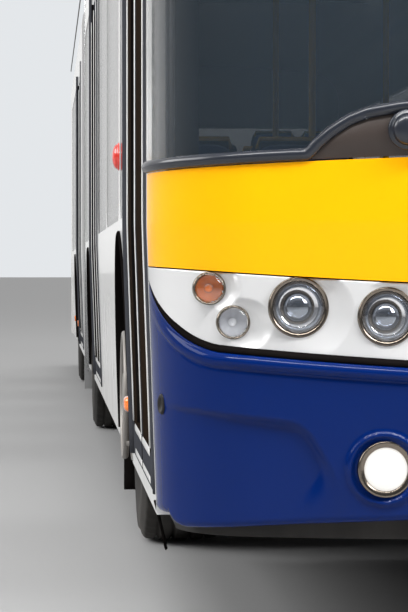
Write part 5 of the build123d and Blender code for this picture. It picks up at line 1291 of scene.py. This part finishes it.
def build_seats(title, section, places):
    """Pads, moulded shells, top rails and legs of a section's seats."""
    bar = [(0.02, -0.03), (0.02, 0.03), (-0.02, 0.03), (-0.02, -0.03)]
    pads, shells, frames = [], [], []
    for side, y, z in places:
        for x in (side * BENCH_X - SEAT_HALF, side * BENCH_X + SEAT_HALF):
            more_pads, more_shells = seat_forms(x, y, z)
            pads += more_pads
            shells += more_shells
            rail = [(-0.17, 0.530, 1.035), (-0.16, 0.538, 1.075), (0.16, 0.538, 1.075), (0.17, 0.530, 1.035)]
            rail = [Vector((x, y, z)) + Vector(place) for place in rail]
            frames.append(sweep(rail, oval(0.010, 0.010, 8), REARWARD))
        for y_leg in (y + 0.16, y + 0.36):
            leg = [Vector((side * BENCH_X, y_leg, z + up)) for up in (0.004, 0.375)]
            frames.append(sweep(leg, bar, REARWARD))
    piece = mesh_piece(f"{title}_seat_pads", join(pads), SEAT_CLOTH, section, f"{title}_seats")
    mesh_piece(f"{title}_seat_shells", join(shells), TRIM, section)
    mesh_piece(f"{title}_seat_frames", join(frames), RAIL, section)


def build_driver_seat():
    """The driver's seat on its column."""
    low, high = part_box("driver_seat")
    x, y, z = (low[0] + high[0]) / 2, low[1], low[2]
    cushion_z = high[2] - 0.66
    at_seat, at_back = (x, y + 0.245, cushion_z - 0.02), (x, y + 0.475, cushion_z + 0.33)
    pads = [
        pad((0.245, 0.235, 0.045), at_seat, math.radians(-3), channels=(-0.4, 0.4)),
        pad((0.240, 0.290, 0.035), at_back, math.radians(80), channels=(-0.5, 0.0, 0.5)),
    ]
    piece = mesh_piece("driver_seat_pads", join(pads), SEAT_CLOTH, FRONT, "driver_seat")
    profile = [(0.09, 0.0), (0.09, 0.02), (0.05, 0.05), (0.05, 0.20), (0.14, 0.24)]
    profile.append((0.16, cushion_z - z - 0.07))
    column = lathe(profile, (x, y + 0.26, z + 0.002), UPWARD, 40)
    mesh_piece("driver_seat_column", column, TRIM, FRONT)


# Sides and rear: gutter rails and slats
def build_gutters():
    """A gutter along each side of the roof."""
    for body, ends in ((FRONT, (-8.40, 0.60)), (REAR, (2.02, 8.70))):
        rails = []
        for side in (-1, 1):
            path = [Vector((side * skin_x(GUTTER_Z), y, GUTTER_Z)) for y in spaced(*ends, 40)]
            rails.append(sweep(path, half_round(0.022, 0.007, 6), (side, 0, 0)))
        mesh_piece(f"{body}_gutter", join(rails), TRIM, body)


def build_hatch_slats():
    """Slats over the air grille in the engine hatch."""
    section = [(0.0, -0.014), (0.004, -0.015), (0.0085, -0.012), (0.002, 0.012), (0.0, 0.013)]
    slats = []
    for z in spaced(0.60, 1.04, 8):
        slats.append(sweep([Vector((x, 8.990, z)) for x in spaced(-0.62, 0.62, 20)], section, REARWARD))
    mesh_piece("hatch_slats", join(slats), TRIM, "hatch")


# Studio: colours of the world, and each light's name, place, aim, size and power
DIM_SKY = (0.25, 0.26, 0.28, 1)
BRIGHT_SKY = (1.3, 1.3, 1.3, 1)
BACKDROP = (1.25, 1.29, 1.33, 1)
AREA_LIGHTS = [
    ("front_key", (15, -21, 13), (-0.5, -8.8, 0.9), (10, 9), 3600),
    ("lip_strip", (0, -10.8, 4.6), (0, -8.95, 0.75), (9, 0.5), 380),
    ("side_fill", (-20, -4, 11), (-1.2, -2, 1), (20, 9), 3300),
    ("overhead", (0, -2, 12), (0, -2, 0), (12, 24), 250),
]


def build_stage():
    """Plain pale floor."""
    reach = 300
    data = bpy.data.meshes.new("studio_floor")
    corners = [(-reach, -reach, 0), (reach, -reach, 0), (reach, reach, 0), (-reach, reach, 0)]
    data.from_pydata(corners, [], [(0, 1, 2, 3)])
    data.materials.append(shader_material("studio_floor_grey", (0.42, 0.42, 0.42), 0.8)[0])
    add_object("studio_floor", data)


def area_light(name, at, look, size, power):
    """A soft rectangular light at one place, turned to another."""
    data = bpy.data.lights.new(name, "AREA")
    data.shape = "RECTANGLE"
    data.size, data.size_y = size
    data.energy = power
    light = add_object(name, data)
    light.location = at
    light.rotation_euler = (Vector(look) - Vector(at)).to_track_quat("-Z", "Y").to_euler()


def build_light():
    """Soft studio light: bright above and behind, dim ahead, and a plain pale backdrop for the camera."""
    world = bpy.data.worlds.new("studio_world")
    world.use_nodes = True
    tree = world.node_tree
    background = tree.nodes["Background"]
    place = tree.nodes.new("ShaderNodeTexCoord")
    split = tree.nodes.new("ShaderNodeSeparateXYZ")
    tree.links.new(place.outputs["Generated"], split.inputs[0])
    height = math_node(tree, "ADD", split.outputs["Z"], times(tree, split.outputs["Y"], 0.55))
    ramp = tree.nodes.new("ShaderNodeValToRGB")
    tree.links.new(height, ramp.inputs[0])
    for stop, position, color in zip(ramp.color_ramp.elements, (0.0, 0.6), (DIM_SKY, BRIGHT_SKY)):
        stop.position = position
        stop.color = color
    rays = tree.nodes.new("ShaderNodeLightPath")
    seen = mix_colors(tree, rays.outputs["Is Camera Ray"], ramp.outputs["Color"], BACKDROP)
    tree.links.new(seen, background.inputs["Color"])
    background.inputs["Strength"].default_value = 0.62
    bpy.context.scene.world = world
    bpy.context.scene.view_settings.view_transform = "Standard"
    for light in AREA_LIGHTS:
        area_light(*light)


def build_camera():
    """The photograph's viewpoint."""
    data = bpy.data.cameras.new("photo_camera")
    data.sensor_width = SENSOR
    data.lens = FOCAL_PX / PHOTO_H * SENSOR
    data.clip_end = 400
    camera = add_object("photo_camera", data)
    camera.location = CAMERA_AT
    camera.rotation_euler = (math.pi / 2 - CAMERA_PITCH, 0, -CAMERA_YAW)
    bpy.context.scene.camera = camera


build_camera()
build_stage()
build_light()
dress_nodes()
build_lamps()
build_lamp_panel()
build_lip_gap_shade_strip()
build_bumper()
build_cowl()
build_screen_seal()
build_wipers()
build_side_repeaters()
build_side_markers()
build_leaf_trim()
build_door_jambs()
build_tyres()
build_nut_rings()
build_mud_flaps()
build_corner_blades()
build_bumper_plugs()
build_arch_lips()
build_bellows()
build_seats("front", FRONT, FRONT_SEATS)
build_seats("rear", REAR, REAR_SEATS)
build_driver_seat()
build_gutters()
build_hatch_slats()
